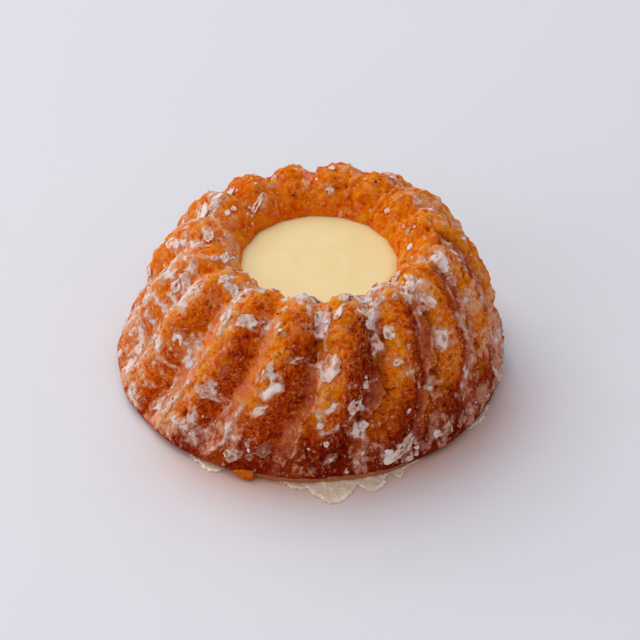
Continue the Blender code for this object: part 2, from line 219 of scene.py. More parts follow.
@dataclass(frozen=True)
class RingForm:
    """The fluted ring, with the same sizes and formulas as its solid."""

    base_radius: float = 0.0405
    rim_height: float = 0.0016
    foot_radius: float = 0.0370
    height: float = 0.0329
    crest_radius: float = 0.0238
    wall_fullness: float = 1.68
    waist_depth: float = 0.0014
    waist_height: float = 0.0120
    waist_spread: float = 0.0050
    throat_radius: float = 0.01545
    throat_height: float = 0.0219
    floor_radius: float = 0.0125
    floor_height: float = 0.0130
    flutes: int = 16
    ridge_angle: float = -8.5
    groove_roundness: float = 0.32
    flute_depths: Table = (
        (0.5, 0.0), (1.0, 0.0004), (1.16, 0.0023), (1.5, 0.0031),
        (2.0, 0.0020), (2.3, 0.0013), (2.7, 0.0003), (3.0, 0.0),
    )
    swirl: Table = (
        (0.0, -15.0), (1.0, -15.0), (1.16, -14.0), (1.45, -6.0),
        (1.7, -2.2), (2.0, 0.0), (3.0, 4.0), (4.0, 4.0),
    )
    lean: Table = ((1.0, 0.0), (1.25, 0.0013), (2.0, 0.0015), (2.6, 0.0019))
    roughness: Table = ((0.5, 0.0), (1.08, 0.35), (1.25, 1.0), (2.55, 1.0), (2.8, 0.2), (3.0, 0.0))
    ridge_height_spread: float = 0.0004
    ridge_place_spread: float = 0.05
    wave_size: float = 0.0130
    wave_depth: float = 0.0005
    crag_size: float = 0.0030
    crag_depth: float = 0.00055
    crag_bite: float = 0.35
    groove_crags: float = 0.25
    seed: int = 20
    stations: dict[float, Station] = field(default_factory=dict, compare=False)
    ridges: list[tuple[float, float]] = field(default_factory=list, compare=False)

    def __post_init__(self) -> None:
        """Draws how far each ridge is too high and out of place."""
        draw = random.Random(self.seed)
        heights = [draw.uniform(-1, 1) * self.ridge_height_spread for _ in range(self.flutes)]
        places = [draw.uniform(-1, 1) * self.ridge_place_spread for _ in range(self.flutes)]
        self.ridges.extend(zip(heights, places))

    def ridge_line(self, place: float) -> tuple[float, float]:
        """Follows the back of a ridge.

        Args:
            place: Where along the profile.

        Returns:
            Its radius and height there.
        """
        stage = min(int(place), Landmark.THROAT)
        turn = (place - stage) * math.pi / 2
        if stage == Landmark.FOOT:
            radius = self.foot_radius + (self.base_radius - self.foot_radius) * math.sin(turn)
            return radius, self.rim_height * (1 - math.cos(turn))
        if stage == Landmark.RIM:
            power = 2 / self.wall_fullness
            wall = self.base_radius - self.crest_radius
            radius = self.crest_radius + wall * max(math.cos(turn), 0.0) ** power
            return radius, self.rim_height + (self.height - self.rim_height) * math.sin(turn) ** power
        if stage == Landmark.CREST:
            radius = self.crest_radius - (self.crest_radius - self.throat_radius) * math.sin(turn)
            return radius, self.height - (self.height - self.throat_height) * (1 - math.cos(turn))
        share = place - Landmark.THROAT
        radius = self.throat_radius + (self.floor_radius - self.throat_radius) * share
        return radius, self.throat_height + (self.floor_height - self.throat_height) * share

    def ridge_normal(self, place: float, step: float = 0.01) -> tuple[float, float]:
        """Finds the outward direction.

        Args:
            place: Where along the profile.
            step: How far to each side the slope is taken.

        Returns:
            Its shares along the radius and the height.
        """
        before = Vector(self.ridge_line(max(place - step, Landmark.FOOT)))
        after = Vector(self.ridge_line(min(place + step, Landmark.FLOOR)))
        along = (after - before).normalized()
        return along.y, -along.x

    def waist_at(self, place: float, height: float) -> float:
        """Finds how far the outer wall draws in over the rim.

        Args:
            place: Where along the profile.
            height: How high that is.

        Returns:
            The depth of the waist there.
        """
        if not Landmark.RIM < place < Landmark.CREST:
            return 0.0
        drawn_in = self.waist_depth * math.exp(-(((height - self.waist_height) / self.waist_spread) ** 2))
        return drawn_in * min((height - self.rim_height) / (self.waist_spread / 2), 1.0)

    def station(self, place: float) -> Station:
        """Works out the profile's values at a place, once for each place.

        Args:
            place: Where along the profile.

        Returns:
            The values there.
        """
        if place not in self.stations:
            radius, height = self.ridge_line(place)
            out, up = self.ridge_normal(place)
            self.stations[place] = Station(
                radius=radius,
                height=height,
                out=out,
                up=up,
                flute_depth=eased(self.flute_depths, place),
                waist=self.waist_at(place, height),
                roughness=eased(self.roughness, place),
                swirl=eased(self.swirl, place),
                lean=eased(self.lean, place),
            )
        return self.stations[place]

    def flute_at(self, angle: float) -> tuple[int, float]:
        """Finds the flute of an angle.

        Args:
            angle: The flute angle.

        Returns:
            The nearest ridge's number, and the phase: 0 on its back, and -0.5 and 0.5 in its grooves.
        """
        turns = (angle - self.ridge_angle) / 360 * self.flutes
        ridge = round(turns)
        phase = turns - ridge
        shift = self.ridges[ridge % self.flutes][1] * (1 - (2 * phase) ** 2)
        return ridge % self.flutes, phase - shift

    def ridge_share(self, phase: float) -> float:
        """Tells ridge from groove.

        Args:
            phase: The place across the flute, 0 on its back.

        Returns:
            1 on a ridge's back and 0 at the bottom of a groove.
        """
        soft = self.groove_roundness
        level = math.sqrt(math.cos(math.pi * phase) ** 2 + soft * soft) - soft
        return level / (math.sqrt(1 + soft * soft) - soft)

    def point(self, angle: float, place: float, lift: float = 0.0) -> Vector:
        """Finds a point of the crust.

        Args:
            angle: The flute angle.
            place: Where along the profile.
            lift: How far over the crust.

        Returns:
            The point.
        """
        at = self.station(place)
        ridge, phase = self.flute_at(angle)
        share = self.ridge_share(phase)
        away = outward(angle + at.swirl)
        point = away * at.radius + Vector((0, 0, at.height))
        lift += self.ridges[ridge][0] * share * at.roughness - at.flute_depth * (1 - share) - at.waist
        lift += noise.noise(point / self.wave_size) * self.wave_depth * at.roughness
        crag = noise.noise(point / self.crag_size) + 0.5 * noise.noise(point / self.crag_size * 2.1)
        bare = self.groove_crags + (1 - self.groove_crags) * share
        lift += (crag - self.crag_bite) * self.crag_depth * at.roughness * bare
        point += (away * at.out + Vector((0, 0, at.up))) * lift
        point.x += at.lean
        return point

    def frame_at(
        self, angle: float, place: float, turn_step: float = 0.6, place_step: float = 0.02
    ) -> tuple[Vector, Vector, Vector, Vector]:
        """Takes the directions at a point of the crust.

        Args:
            angle: The flute angle.
            place: Where along the profile.
            turn_step: Degrees to each side that the slope is taken over.
            place_step: The same along the profile.

        Returns:
            The point, the steps that a degree and a unit of place make, and the outward direction.
        """
        around = self.point(angle + turn_step, place) - self.point(angle - turn_step, place)
        along = self.point(angle, place + place_step) - self.point(angle, place - place_step)
        out = around.cross(along).normalized()
        return self.point(angle, place), around / (2 * turn_step), along / (2 * place_step), out

    def flute_angle(self, true_angle: float, place: float) -> float:
        """The flute angle of what lies at this true angle and place."""
        return true_angle - self.station(place).swirl


@dataclass(frozen=True)
class Flake:
    """One flake's flute angle, place, length, width and turn from upright."""

    angle: float
    place: float
    length: float
    width: float
    turn: float


@dataclass(frozen=True)
class FlakePlan:
    """Where the flakes of dried glaze lie, which is where the solid has them."""

    form: RingForm
    small_count: int = 50
    small_length: tuple[float, float] = (0.0022, 0.0040)
    small_places: tuple[float, float] = (1.06, 2.45)
    small_widths: tuple[float, float] = (0.6, 0.95)
    crowding: float = 1.25
    room: float = 0.0012
    seed: int = 20
    # Angle, place along the profile, length and width in mm, and turn from upright
    large: tuple[tuple[float, float, float, float, float], ...] = (
        (5, 1.56, 6.0, 3.8, 5),
        (-14, 1.45, 5.6, 3.0, 50),
        (-18, 1.34, 4.0, 3.6, 20),
        (-55, 1.48, 5.0, 4.0, -10),
        (-45, 1.42, 4.2, 2.2, 20),
        (-37, 1.34, 4.6, 3.8, 30),
        (-30, 1.76, 4.6, 3.0, 60),
        (-39, 1.74, 3.6, 2.2, 10),
        (74, 1.88, 4.2, 3.6, 40),
        (70, 1.72, 3.6, 2.6, 120),
        (89, 1.52, 5.2, 2.6, 0),
        (50, 1.76, 4.2, 3.4, 130),
        (43, 1.66, 3.4, 2.4, 30),
        (49, 1.53, 5.2, 3.2, 0),
        (29, 1.69, 3.2, 2.4, -30),
        (28, 1.11, 8.6, 3.8, 72),
        (43, 1.10, 3.2, 2.6, 0),
        (52, 1.09, 3.6, 2.6, 50),
        (-53, 1.15, 6.0, 4.6, 20),
        (-76, 1.13, 4.4, 3.0, 0),
        (-39, 1.09, 3.2, 2.8, 0),
        (-15, 1.14, 3.6, 3.0, 40),
        (5, 1.12, 3.2, 2.6, 80),
        (13, 1.09, 2.8, 2.4, 0),
        (-17, 1.52, 4.6, 1.8, 12),
        (-8, 1.60, 3.0, 2.4, 60),
        (-97, 1.68, 4.6, 3.2, 30),
        (-113, 1.86, 5.0, 3.4, 80),
        (-92, 2.12, 4.0, 2.4, 60),
        (-79, 1.40, 4.0, 2.0, 0),
        (173, 2.44, 2.6, 2.2, 0),
        (-138, 2.42, 5.0, 1.4, 60),
    )

    def large_flakes(self) -> list[Flake]:
        """Takes the large flakes from their table.

        Returns:
            The flakes, at their flute angles.
        """
        return [
            Flake(self.form.flute_angle(angle, place), place, length * MM, width * MM, turn)
            for angle, place, length, width, turn in self.large
        ]

    def small_flakes(self, taken: list[Flake]) -> list[Flake]:
        """Spreads the smaller flakes by the same seeded trials as the solid's.

        Args:
            taken: The flakes that are there already.

        Returns:
            The smaller ones, denser towards the rim.
        """
        draw = random.Random(self.seed)
        point = self.form.point
        spots = [(point(flake.angle, flake.place), max(flake.length, flake.width)) for flake in taken]
        flakes: list[Flake] = []
        while len(flakes) < self.small_count:
            low, high = self.small_places
            place = low + (high - low) * draw.random() ** self.crowding
            angle = draw.uniform(-180, 180)
            length = draw.uniform(*self.small_length)
            width = length * draw.uniform(*self.small_widths)
            turn = draw.uniform(0, 180)
            spot = point(angle, place)
            if all((spot - other).length > (length + size) / 2 + self.room for other, size in spots):
                spots.append((spot, length))
                flakes.append(Flake(angle, place, length, width, turn))
        return flakes

    def flakes(self) -> list[Flake]:
        """All the flakes, the large ones first."""
        large = self.large_flakes()
        return large + self.small_flakes(large)


@dataclass(frozen=True)
class SkinSample:
    """What the crust's skin is like at one point, each from 0 to 1 but for the lift."""

    lift: float
    glaze: float
    frost: float
    haze: float
    relief: float
    bake: float
    porous: float


@dataclass(frozen=True)
class Spot:
    """A point of the bare form, and how it lies.

    The angle is the true one, and turned is the same from -180 to 180. The rest go from 0 to 1: groove at the
    bottom of a groove, lee on the flank away from the light, wall on the outer wall, ahead at the front, and
    porous where the crumb is most open.
    """

    angle: float
    turned: float
    place: float
    height: float
    phase: float
    groove: float
    lee: float
    wall: float
    ahead: float
    porous: float
    point: Vector


@dataclass(frozen=True)
class CrustSkin:
    """What lies on the form: rough crumb, the glaze in the grooves, and where it dried white."""

    form: RingForm
    flakes: list[Flake] = field(default_factory=list)
    spots: KDTree = field(default_factory=lambda: KDTree(0), compare=False)
    porous_angle: float = 40.0
    front_angle: float = 12.0
    wall_top: tuple[float, float] = (1.75, 2.1)
    # Crumb
    grain_size: float = 0.00130
    grain_height: float = 0.00040
    lump_size: float = 0.0024
    lump_height: float = 0.00050
    pore_size: float = 0.00105
    pore_depth: float = 0.00045
    porous_swell: tuple[float, float] = (0.80, 0.35)
    crumb_places: Window = (0.98, 1.08, 2.5, 2.9)
    skin_places: Window = (0.9, 1.1, 2.6, 2.9)
    # Glaze
    glaze_thickness: float = 0.00012
    pool_depth: float = 0.00090
    glaze_edge: float = 0.72
    glaze_fade: tuple[float, float] = (0.12, 0.30)
    film_drift: float = 0.11
    lip_height: float = 0.00026
    lip_width: float = 0.09
    lip_shift: Window = (30, 60, 130, 160)
    lip_loss: float = 0.8
    glaze_waves: Waves = ((0.0050, 0.30, (0, 0, 0)), (0.0019, 0.20, (0, 0, 0)))
    glaze_reach: Table = (
        (0.95, -0.30), (1.06, -0.14), (1.2, -0.02), (1.4, 0.02),
        (1.75, -0.08), (2.0, -0.26), (2.3, -0.42), (2.8, -0.50),
    )
    glaze_round: Table = (
        (-180, 0.14), (-140, 0.12), (-110, 0.04), (-70, 0.06), (-35, 0.03), (-12, -0.04), (5, -0.22),
        (34, -0.22), (50, -0.06), (75, -0.03), (110, -0.08), (150, 0.08), (180, 0.14),
    )
    # Frost and haze
    frost_thickness: float = 0.00018
    frost_grain_size: float = 0.0009
    covering: tuple[float, float] = (0.58, 0.5)
    frost_edge: tuple[float, float] = (0.16, 0.68)
    haze_edge: tuple[float, float] = (-0.42, 0.42)
    frost_waves: Waves = ((0.0060, 0.60, (7, 3, 1)), (0.0024, 0.50, (1, 9, 4)), (0.0010, 0.26, (0, 0, 0)))
    frost_reach: Table = (
        (0.96, -0.9), (1.03, -0.05), (1.09, 0.12), (1.25, 0.06), (1.5, 0.03),
        (1.9, 0.02), (2.15, -0.12), (2.5, -0.14), (2.7, -0.10),
    )
    frost_round: Table = (
        (-180, -0.22), (-145, -0.16), (-115, 0.17), (-80, 0.19), (-40, -0.01), (0, -0.16),
        (45, -0.18), (75, -0.07), (115, -0.18), (150, -0.22), (180, -0.22),
    )
    lip_frost: float = 0.44
    streaks: float = 0.26
    halo: float = 0.34
    halo_reach: float = 0.31
    brim: float = 0.46
    brim_angle: float = 2.0
    brim_place: float = 1.96
    brim_width: float = 0.12
    cream_edge: float = 0.34
    cream_edge_angle: float = 18.0
    lit_haze: float = 0.24
    low_haze: float = 0.10
    side_haze: float = 0.10
    side_haze_turn: Window = (28, 55, 100, 125)
    front_haze: float = -0.14
    # Tone of the crumb: its own mottling, with painted light and shade
    middle_tone: float = 0.54
    lump_tone: float = 0.46
    grain_tone: float = 0.34
    pore_shade: float = -0.20
    lit_tone: float = 0.74
    low_tone: float = -0.26
    front_shade: float = -0.126
    lit_crest_tone: float = 0.24
    lit_side_tone: float = 0.22
    # Baked brown low down, and painted shade away from the light, in grooves and on shaded flanks
    bake_and_shade_heights: tuple[float, float] = (0.0030, 0.0215)
    shaded_side_angle: float = 38.0
    bake_and_shade_waver: tuple[float, float] = (0.0075, 0.0045)
    groove_shade: tuple[float, float] = (0.66, 0.29)
    flank_shade: tuple[float, float] = (0.32, 0.20)
    flank_places: Window = (1.04, 1.16, 1.60, 1.90)
    low_bake_and_shade_behind: float = 0.42
    groove_shade_behind: float = 0.34
    glaze_shade: float = 0.80
    glaze_dark_behind: float = 0.50

    def __post_init__(self) -> None:
        """Notes where the flakes lie, as the glaze dried white round them too."""
        spots = KDTree(len(self.flakes))
        for number, flake in enumerate(self.flakes):
            spots.insert(self.form.point(flake.angle, flake.place), number)
        spots.balance()
        object.__setattr__(self, "spots", spots)

    def halo_at(self, point: Vector) -> float:
        """Measures how much a flake close by adds to the frost.

        Args:
            point: Where on the bare form.

        Returns:
            What the nearest flakes add there.
        """
        most = 0.0
        for _, number, distance in self.spots.find_n(point, 2):
            reach = (self.flakes[number].length + self.flakes[number].width) * self.halo_reach
            most = max(most, math.exp(-((distance / reach) ** 2)))
        return most * self.halo

    def spot(self, angle: float, place: float) -> Spot:
        """Looks up how a point of the form lies.

        Args:
            angle: The flute angle.
            place: Where along the profile.

        Returns:
            The spot.
        """
        at = self.form.station(place)
        _, phase = self.form.flute_at(angle)
        true_angle = angle + at.swirl
        return Spot(
            angle=true_angle,
            turned=(true_angle + 180) % 360 - 180,
            place=place,
            height=at.height,
            phase=phase,
            groove=1 - self.form.ridge_share(phase),
            lee=0.5 + 0.5 * math.sin(2 * math.pi * phase),
            wall=1 - step_between(place, *self.wall_top),
            ahead=step_between(facing(true_angle, self.front_angle), 0.45, 0.90),
            porous=0.5 + 0.5 * facing(true_angle, self.porous_angle),
            point=outward(true_angle) * at.radius + Vector((0, 0, at.height)),
        )

    def film(self, spot: Spot) -> tuple[float, float]:
        """Finds the glaze that ran down a groove, a little past its middle except on the cake's right side.

        Args:
            spot: Where on the form.

        Returns:
            How far the glaze covers the spot, and how near the spot is to the ridge of sugar at its edge.
        """
        drift = self.film_drift * (1 - step_between(spot.turned, 0, 35))
        flow = 1 - self.form.ridge_share((spot.phase - drift + 0.5) % 1.0 - 0.5)
        flow += eased(self.glaze_reach, spot.place) + eased(self.glaze_round, spot.turned)
        flow += waves(spot.point, self.glaze_waves)
        sharp, soft = self.glaze_fade
        fade = sharp + (soft - sharp) * spot.lee
        glaze = step_between(flow, self.glaze_edge - fade, self.glaze_edge + fade * 0.6)
        side = window(spot.turned, self.lip_shift)
        one_sided = 1 - self.lip_loss * (spot.lee + side - 2 * spot.lee * side)
        return glaze, math.exp(-(((flow - self.glaze_edge) / self.lip_width) ** 2)) * one_sided

    def rime(self, spot: Spot, lip: float) -> tuple[float, float]:
        """Finds where the glaze dried white, and the thinner haze round that.

        Args:
            spot: Where on the form.
            lip: How near the spot is to the ridge of sugar.

        Returns:
            The frost and the haze.
        """
        streak = noise.noise(Vector((spot.angle * 0.95, spot.place * 5.0, 3.0)))
        level = waves(spot.point, self.frost_waves) + self.lip_frost * lip
        level += streak * self.streaks * (1 - step_between(spot.place, 1.9, 2.2))
        level += eased(self.frost_reach, spot.place) + eased(self.frost_round, spot.turned)
        head = self.brim_place - 0.26 * spot.groove
        brim = step_between(spot.place, head - self.brim_width, head + self.brim_width)
        brim *= step_between(facing(spot.angle, self.brim_angle), 0.50, 0.85)
        edge = step_between(spot.place, 2.10, 2.24)
        edge *= step_between(facing(spot.angle, self.cream_edge_angle), 0.70, 0.86)
        level += self.halo_at(spot.point) + self.brim * brim + self.cream_edge * edge
        mist = level + self.front_haze * spot.ahead
        # More haze on flanks towards the light: painted light over the real veil.
        mist += spot.wall * self.lit_haze * (0.5 - spot.lee)
        mist += spot.wall * self.side_haze * window(spot.turned, self.side_haze_turn)
        mist += self.low_haze * (1 - step_between(spot.height, 0.003, 0.010))
        return step_between(level, *self.frost_edge), step_between(mist, *self.haze_edge)

    def crumb(self, spot: Spot, covered: float) -> tuple[float, float]:
        """Finds the rough crumb, and its tone with painted light and shade.

        Args:
            spot: Where on the form.
            covered: How far glaze and frost level it.

        Returns:
            How far the crumb stands out, and its tone: 1 where it is palest.
        """
        grain = 0.45 - noise.voronoi(spot.point / self.grain_size)[0][0]
        lump = noise.fractal(spot.point / self.lump_size, 0.9, 2.1, 3)
        pore = step_between(noise.noise(spot.point / self.pore_size + Vector((3, 5, 8))), 0.30, 0.55)
        rough = grain * self.grain_height + lump * self.lump_height - pore * self.pore_depth
        least, swell = self.porous_swell
        rough *= (1 - covered) * window(spot.place, self.crumb_places) * (least + swell * spot.porous)
        # Lighter on lumps and grains, darker in pores: the crumb's mottling with painted light and shade on
        # its relief.
        tone = self.middle_tone + self.lump_tone * lump + self.grain_tone * grain + self.pore_shade * pore
        # Painted light and shade: lighter on lit flanks, the key-lit side and the right crest; darker on lee
        # flanks, low and at the front.
        away = 0.30 + 0.70 * step_between(spot.turned, -85, -40)
        shade = self.low_tone * (1 - step_between(spot.height, 0.008, 0.030))
        light = away * (self.lit_tone * (0.5 - spot.lee) + shade) + self.front_shade * spot.ahead
        tone += spot.wall * (light + self.lit_side_tone * (0.75 - spot.porous) ** 2)
        tone += self.lit_crest_tone * spot.porous * step_between(spot.place, 1.70, 1.95)
        return rough, min(max(tone, 0.0), 1.0)

    def bake(self, spot: Spot, glaze: float) -> float:
        """Finds how dark the crust is drawn: baked brown low down, and painted shade on top of it.

        Args:
            spot: Where on the form.
            glaze: How far the glaze covers the spot.

        Returns:
            0 for golden, and 1 for the darkest crust.
        """
        # Painted shade: the low band grows away from the light, and grooves, shaded flanks and right-side
        # glaze darken.
        turned, groove = spot.turned, spot.groove
        size, depth = self.bake_and_shade_waver
        wavering = spot.height + noise.noise(spot.point / size) * depth
        towards = 0.5 + 0.5 * facing(spot.angle, self.shaded_side_angle)
        low, high = self.bake_and_shade_heights
        bake = 1 - step_between(wavering, low * towards, low + (high - low) * (0.25 + 0.75 * towards))
        flank = step_between(math.sin(2 * math.pi * (spot.phase - 0.03)), 0.10, 0.85)
        flank *= window(spot.place, self.flank_places) * step_between(turned, -75, -35)
        least, more = self.groove_shade
        shaded = (least + more * step_between(turned, 6, 30)) * groove * step_between(groove, 0.25, 0.7)
        shaded *= step_between(turned, -25, 0)
        least, more = self.flank_shade
        shaded = max(shaded, (least + more * step_between(turned, 0, 25)) * flank)
        shaded *= (1 - step_between(turned, 100, 120)) * (1 - glaze * step_between(abs(turned - 12), 16, 34))
        behind = step_between(abs(turned), 105, 130)
        low_behind = self.low_bake_and_shade_behind * (1 - step_between(spot.height, 0.003, 0.018))
        low_behind += self.groove_shade_behind * groove
        under_glaze = self.glaze_shade * step_between(turned, 25, 55) * (1 - behind)
        under_glaze += self.glaze_dark_behind * behind
        bake = max(bake * (0.25 + 0.75 * towards), shaded, behind * low_behind, glaze * under_glaze)
        return bake * (1 - step_between(spot.place, 1.8, 2.1))

    def sample(self, angle: float, place: float) -> SkinSample:
        """Reads the skin.

        Args:
            angle: The flute angle.
            place: Where along the profile.

        Returns:
            The skin there.
        """
        spot = self.spot(angle, place)
        glaze, lip = self.film(spot)
        frost, haze = self.rime(spot, lip)
        film_cover, frost_cover = self.covering
        rough, relief = self.crumb(spot, max(film_cover * glaze, frost_cover * frost))
        pool = self.pool_depth * step_between(spot.groove, 0.35, 1.0) * step_between(spot.turned, -10, 40)
        over = glaze * (self.glaze_thickness + pool) + lip * self.lip_height
        grain = 1.1 * noise.noise(spot.point / self.frost_grain_size)
        over += frost * self.frost_thickness * (1 + grain)
        return SkinSample(
            lift=rough + over * window(place, self.skin_places),
            glaze=glaze,
            frost=frost,
            haze=haze,
            relief=relief,
            bake=self.bake(spot, glaze),
            porous=spot.porous,
        )


# ---------------------------------------------------------------- finishes


@dataclass(frozen=True)
class Grain:
    """A noise pattern: its size in metres, detail, roughness, the shift that sets it apart, and its twist."""

    size: float
    detail: float = 3.0
    rough: float = 0.55
    shift: float = 0.0
    twist: float = 0.0


class Value:
    """A number or colour in a material's nodes, which takes the signs of arithmetic."""

    def __init__(self, nodes: "Shading", socket: bpy.types.NodeSocket) -> None:
        """Wraps a socket."""
        self.nodes = nodes
        self.socket = socket

    def __add__(self, other: "Value | float") -> "Value":
        """The sum."""
        return self.nodes.maths("ADD", self, other)

    def __sub__(self, other: "Value | float") -> "Value":
        """The difference."""
        return self.nodes.maths("SUBTRACT", self, other)

    def __mul__(self, other: "Value | float") -> "Value":
        """The product."""
        return self.nodes.maths("MULTIPLY", self, other)


class Shading:
    """A material's node tree, with a short call for each kind of node that the finishes use."""

    def __init__(self, name: str) -> None:
        """Starts a material with its shader and its object coordinates.

        Args:
            name: The material's name.
        """
        self.material = bpy.data.materials.new(name)
        self.material.use_nodes = True
        self.tree = self.material.node_tree
        self.shader = self.tree.nodes["Principled BSDF"]
        self.position = Value(self, self.tree.nodes.new("ShaderNodeTexCoord").outputs["Object"])

    def add(
        self, kind: str, inputs: dict[str | int, object], output: str | int = 0, **settings: object
    ) -> Value:
        """Adds a node.

        Args:
            kind: Its type.
            inputs: What feeds its sockets.
            output: The socket to read.
            settings: Its other properties.

        Returns:
            The value at that output.
        """
        node = self.tree.nodes.new(kind)
        for name, value in settings.items():
            setattr(node, name, value)
        for name, value in inputs.items():
            self.feed(node.inputs[name], value)
        return Value(self, node.outputs[output])

    def feed(self, socket: bpy.types.NodeSocket, value: object) -> None:
        """Links a socket to a value, or sets it.

        Args:
            socket: The socket.
            value: A value of the nodes, or a plain number, colour or vector.
        """
        if isinstance(value, Value):
            self.tree.links.new(value.socket, socket)
        else:
            socket.default_value = value

    def set(self, name: str, value: object) -> None:
        """Feeds one of the shader's own sockets."""
        self.feed(self.shader.inputs[name], value)

    def noise(self, grain: Grain) -> Value:
        """Draws noise.

        Args:
            grain: The pattern.

        Returns:
            Its value, about 0.5 in the middle.
        """
        at = self.position
        if grain.shift:
            shift = (grain.shift, grain.shift * 0.7, grain.shift * 0.4)
            at = self.add("ShaderNodeMapping", {"Vector": at, "Location": shift}, "Vector")
        inputs = {"Vector": at, "Scale": 1 / grain.size, "Detail": grain.detail}
        inputs |= {"Roughness": grain.rough, "Distortion": grain.twist}
        return self.add("ShaderNodeTexNoise", inputs, "Fac")

    def polar(self, way: Vector) -> tuple[Value, Value]:
        """Measures a point from the origin.

        Args:
            way: A level direction.

        Returns:
            The point's distance, and how far it lies that way, as a share of the distance.
        """
        kind, at = "ShaderNodeVectorMath", self.position
        distance = self.add(kind, {0: at}, "Value", operation="LENGTH")
        forward = self.add(kind, {0: at, 1: way}, "Value", operation="DOT_PRODUCT")
        return distance, self.maths("DIVIDE", forward, distance)

    def attribute(self, name: str) -> Value:
        """A value that the piece's points hold."""
        return self.add("ShaderNodeAttribute", {}, "Fac", attribute_name=name)

    def maths(
        self, operation: str, first: Value | float, second: Value | float, clamp: bool = False
    ) -> Value:
        """Joins two numbers by an operation, kept from 0 to 1 where it is clamped."""
        return self.add("ShaderNodeMath", {0: first, 1: second}, operation=operation, use_clamp=clamp)

    def span(self, value: Value, low: float, high: float, start: float = 0.0, end: float = 1.0) -> Value:
        """Maps a value by a smooth step.

        Args:
            value: The value.
            low: Where it starts to rise.
            high: Where it ends.
            start: What it is below that.
            end: What it is above.

        Returns:
            The mapped value.
        """
        ends = {"From Min": low, "From Max": high, "To Min": start, "To Max": end}
        kind, step = "ShaderNodeMapRange", "SMOOTHSTEP"
        return self.add(kind, {"Value": value} | ends, "Result", interpolation_type=step)

    def band(self, grain: Grain, low: float, high: float, start: float = 0.0, end: float = 1.0) -> Value:
        """The smooth step of a noise pattern."""
        return self.span(self.noise(grain), low, high, start, end)

    def ramp(self, value: Value, stops: Iterable[tuple[float, Colour]]) -> Value:
        """Colours a value.

        Args:
            value: The value.
            stops: Its places and their colours.

        Returns:
            The colour.
        """
        node = self.tree.nodes.new("ShaderNodeValToRGB")
        self.feed(node.inputs["Fac"], value)
        elements = node.color_ramp.elements
        while len(elements) > 1:
            elements.remove(elements[-1])
        for number, (place, colour) in enumerate(stops):
            element = elements[0] if number == 0 else elements.new(place)
            element.position = place
            element.color = linear(colour)
        return Value(self, node.outputs["Color"])

    def mix(self, share: Value, *colours: Value | Colour) -> Value:
        """Mixes two colours, each a value or 0 to 255."""
        first, second = (linear(colour) if isinstance(colour, tuple) else colour for colour in colours)
        return self.add("ShaderNodeMix", {0: share, 6: first, 7: second}, 2, data_type="RGBA")

    def bump(
        self, height: Value, distance: float, strength: float = 0.9, below: Value | None = None
    ) -> Value:
        """Bumps the surface.

        Args:
            height: The bumps' pattern.
            distance: Their height in metres.
            strength: How strongly they show.
            below: A bumped normal to start from.

        Returns:
            The normal.
        """
        inputs = {"Height": height, "Distance": distance, "Strength": strength}
        if below is not None:
            inputs["Normal"] = below
        return self.add("ShaderNodeBump", inputs, "Normal")

    def scatter(self, weight: float, reach: Colour) -> None:
        """Lets light into the stuff.

        Args:
            weight: How much of it.
            reach: How far it goes in metres, for red, green and blue.
        """
        self.set("Subsurface Weight", weight)
        self.set("Subsurface Radius", reach)
        self.set("Subsurface Scale", 1.0)


def linear(colour: Colour) -> tuple[float, float, float, float]:
    """A screen colour as the linear colour that shaders take."""
    parts = [part / 255 for part in colour]
    return (*[part / 12.92 if part <= 0.04045 else ((part + 0.055) / 1.055) ** 2.4 for part in parts], 1.0)


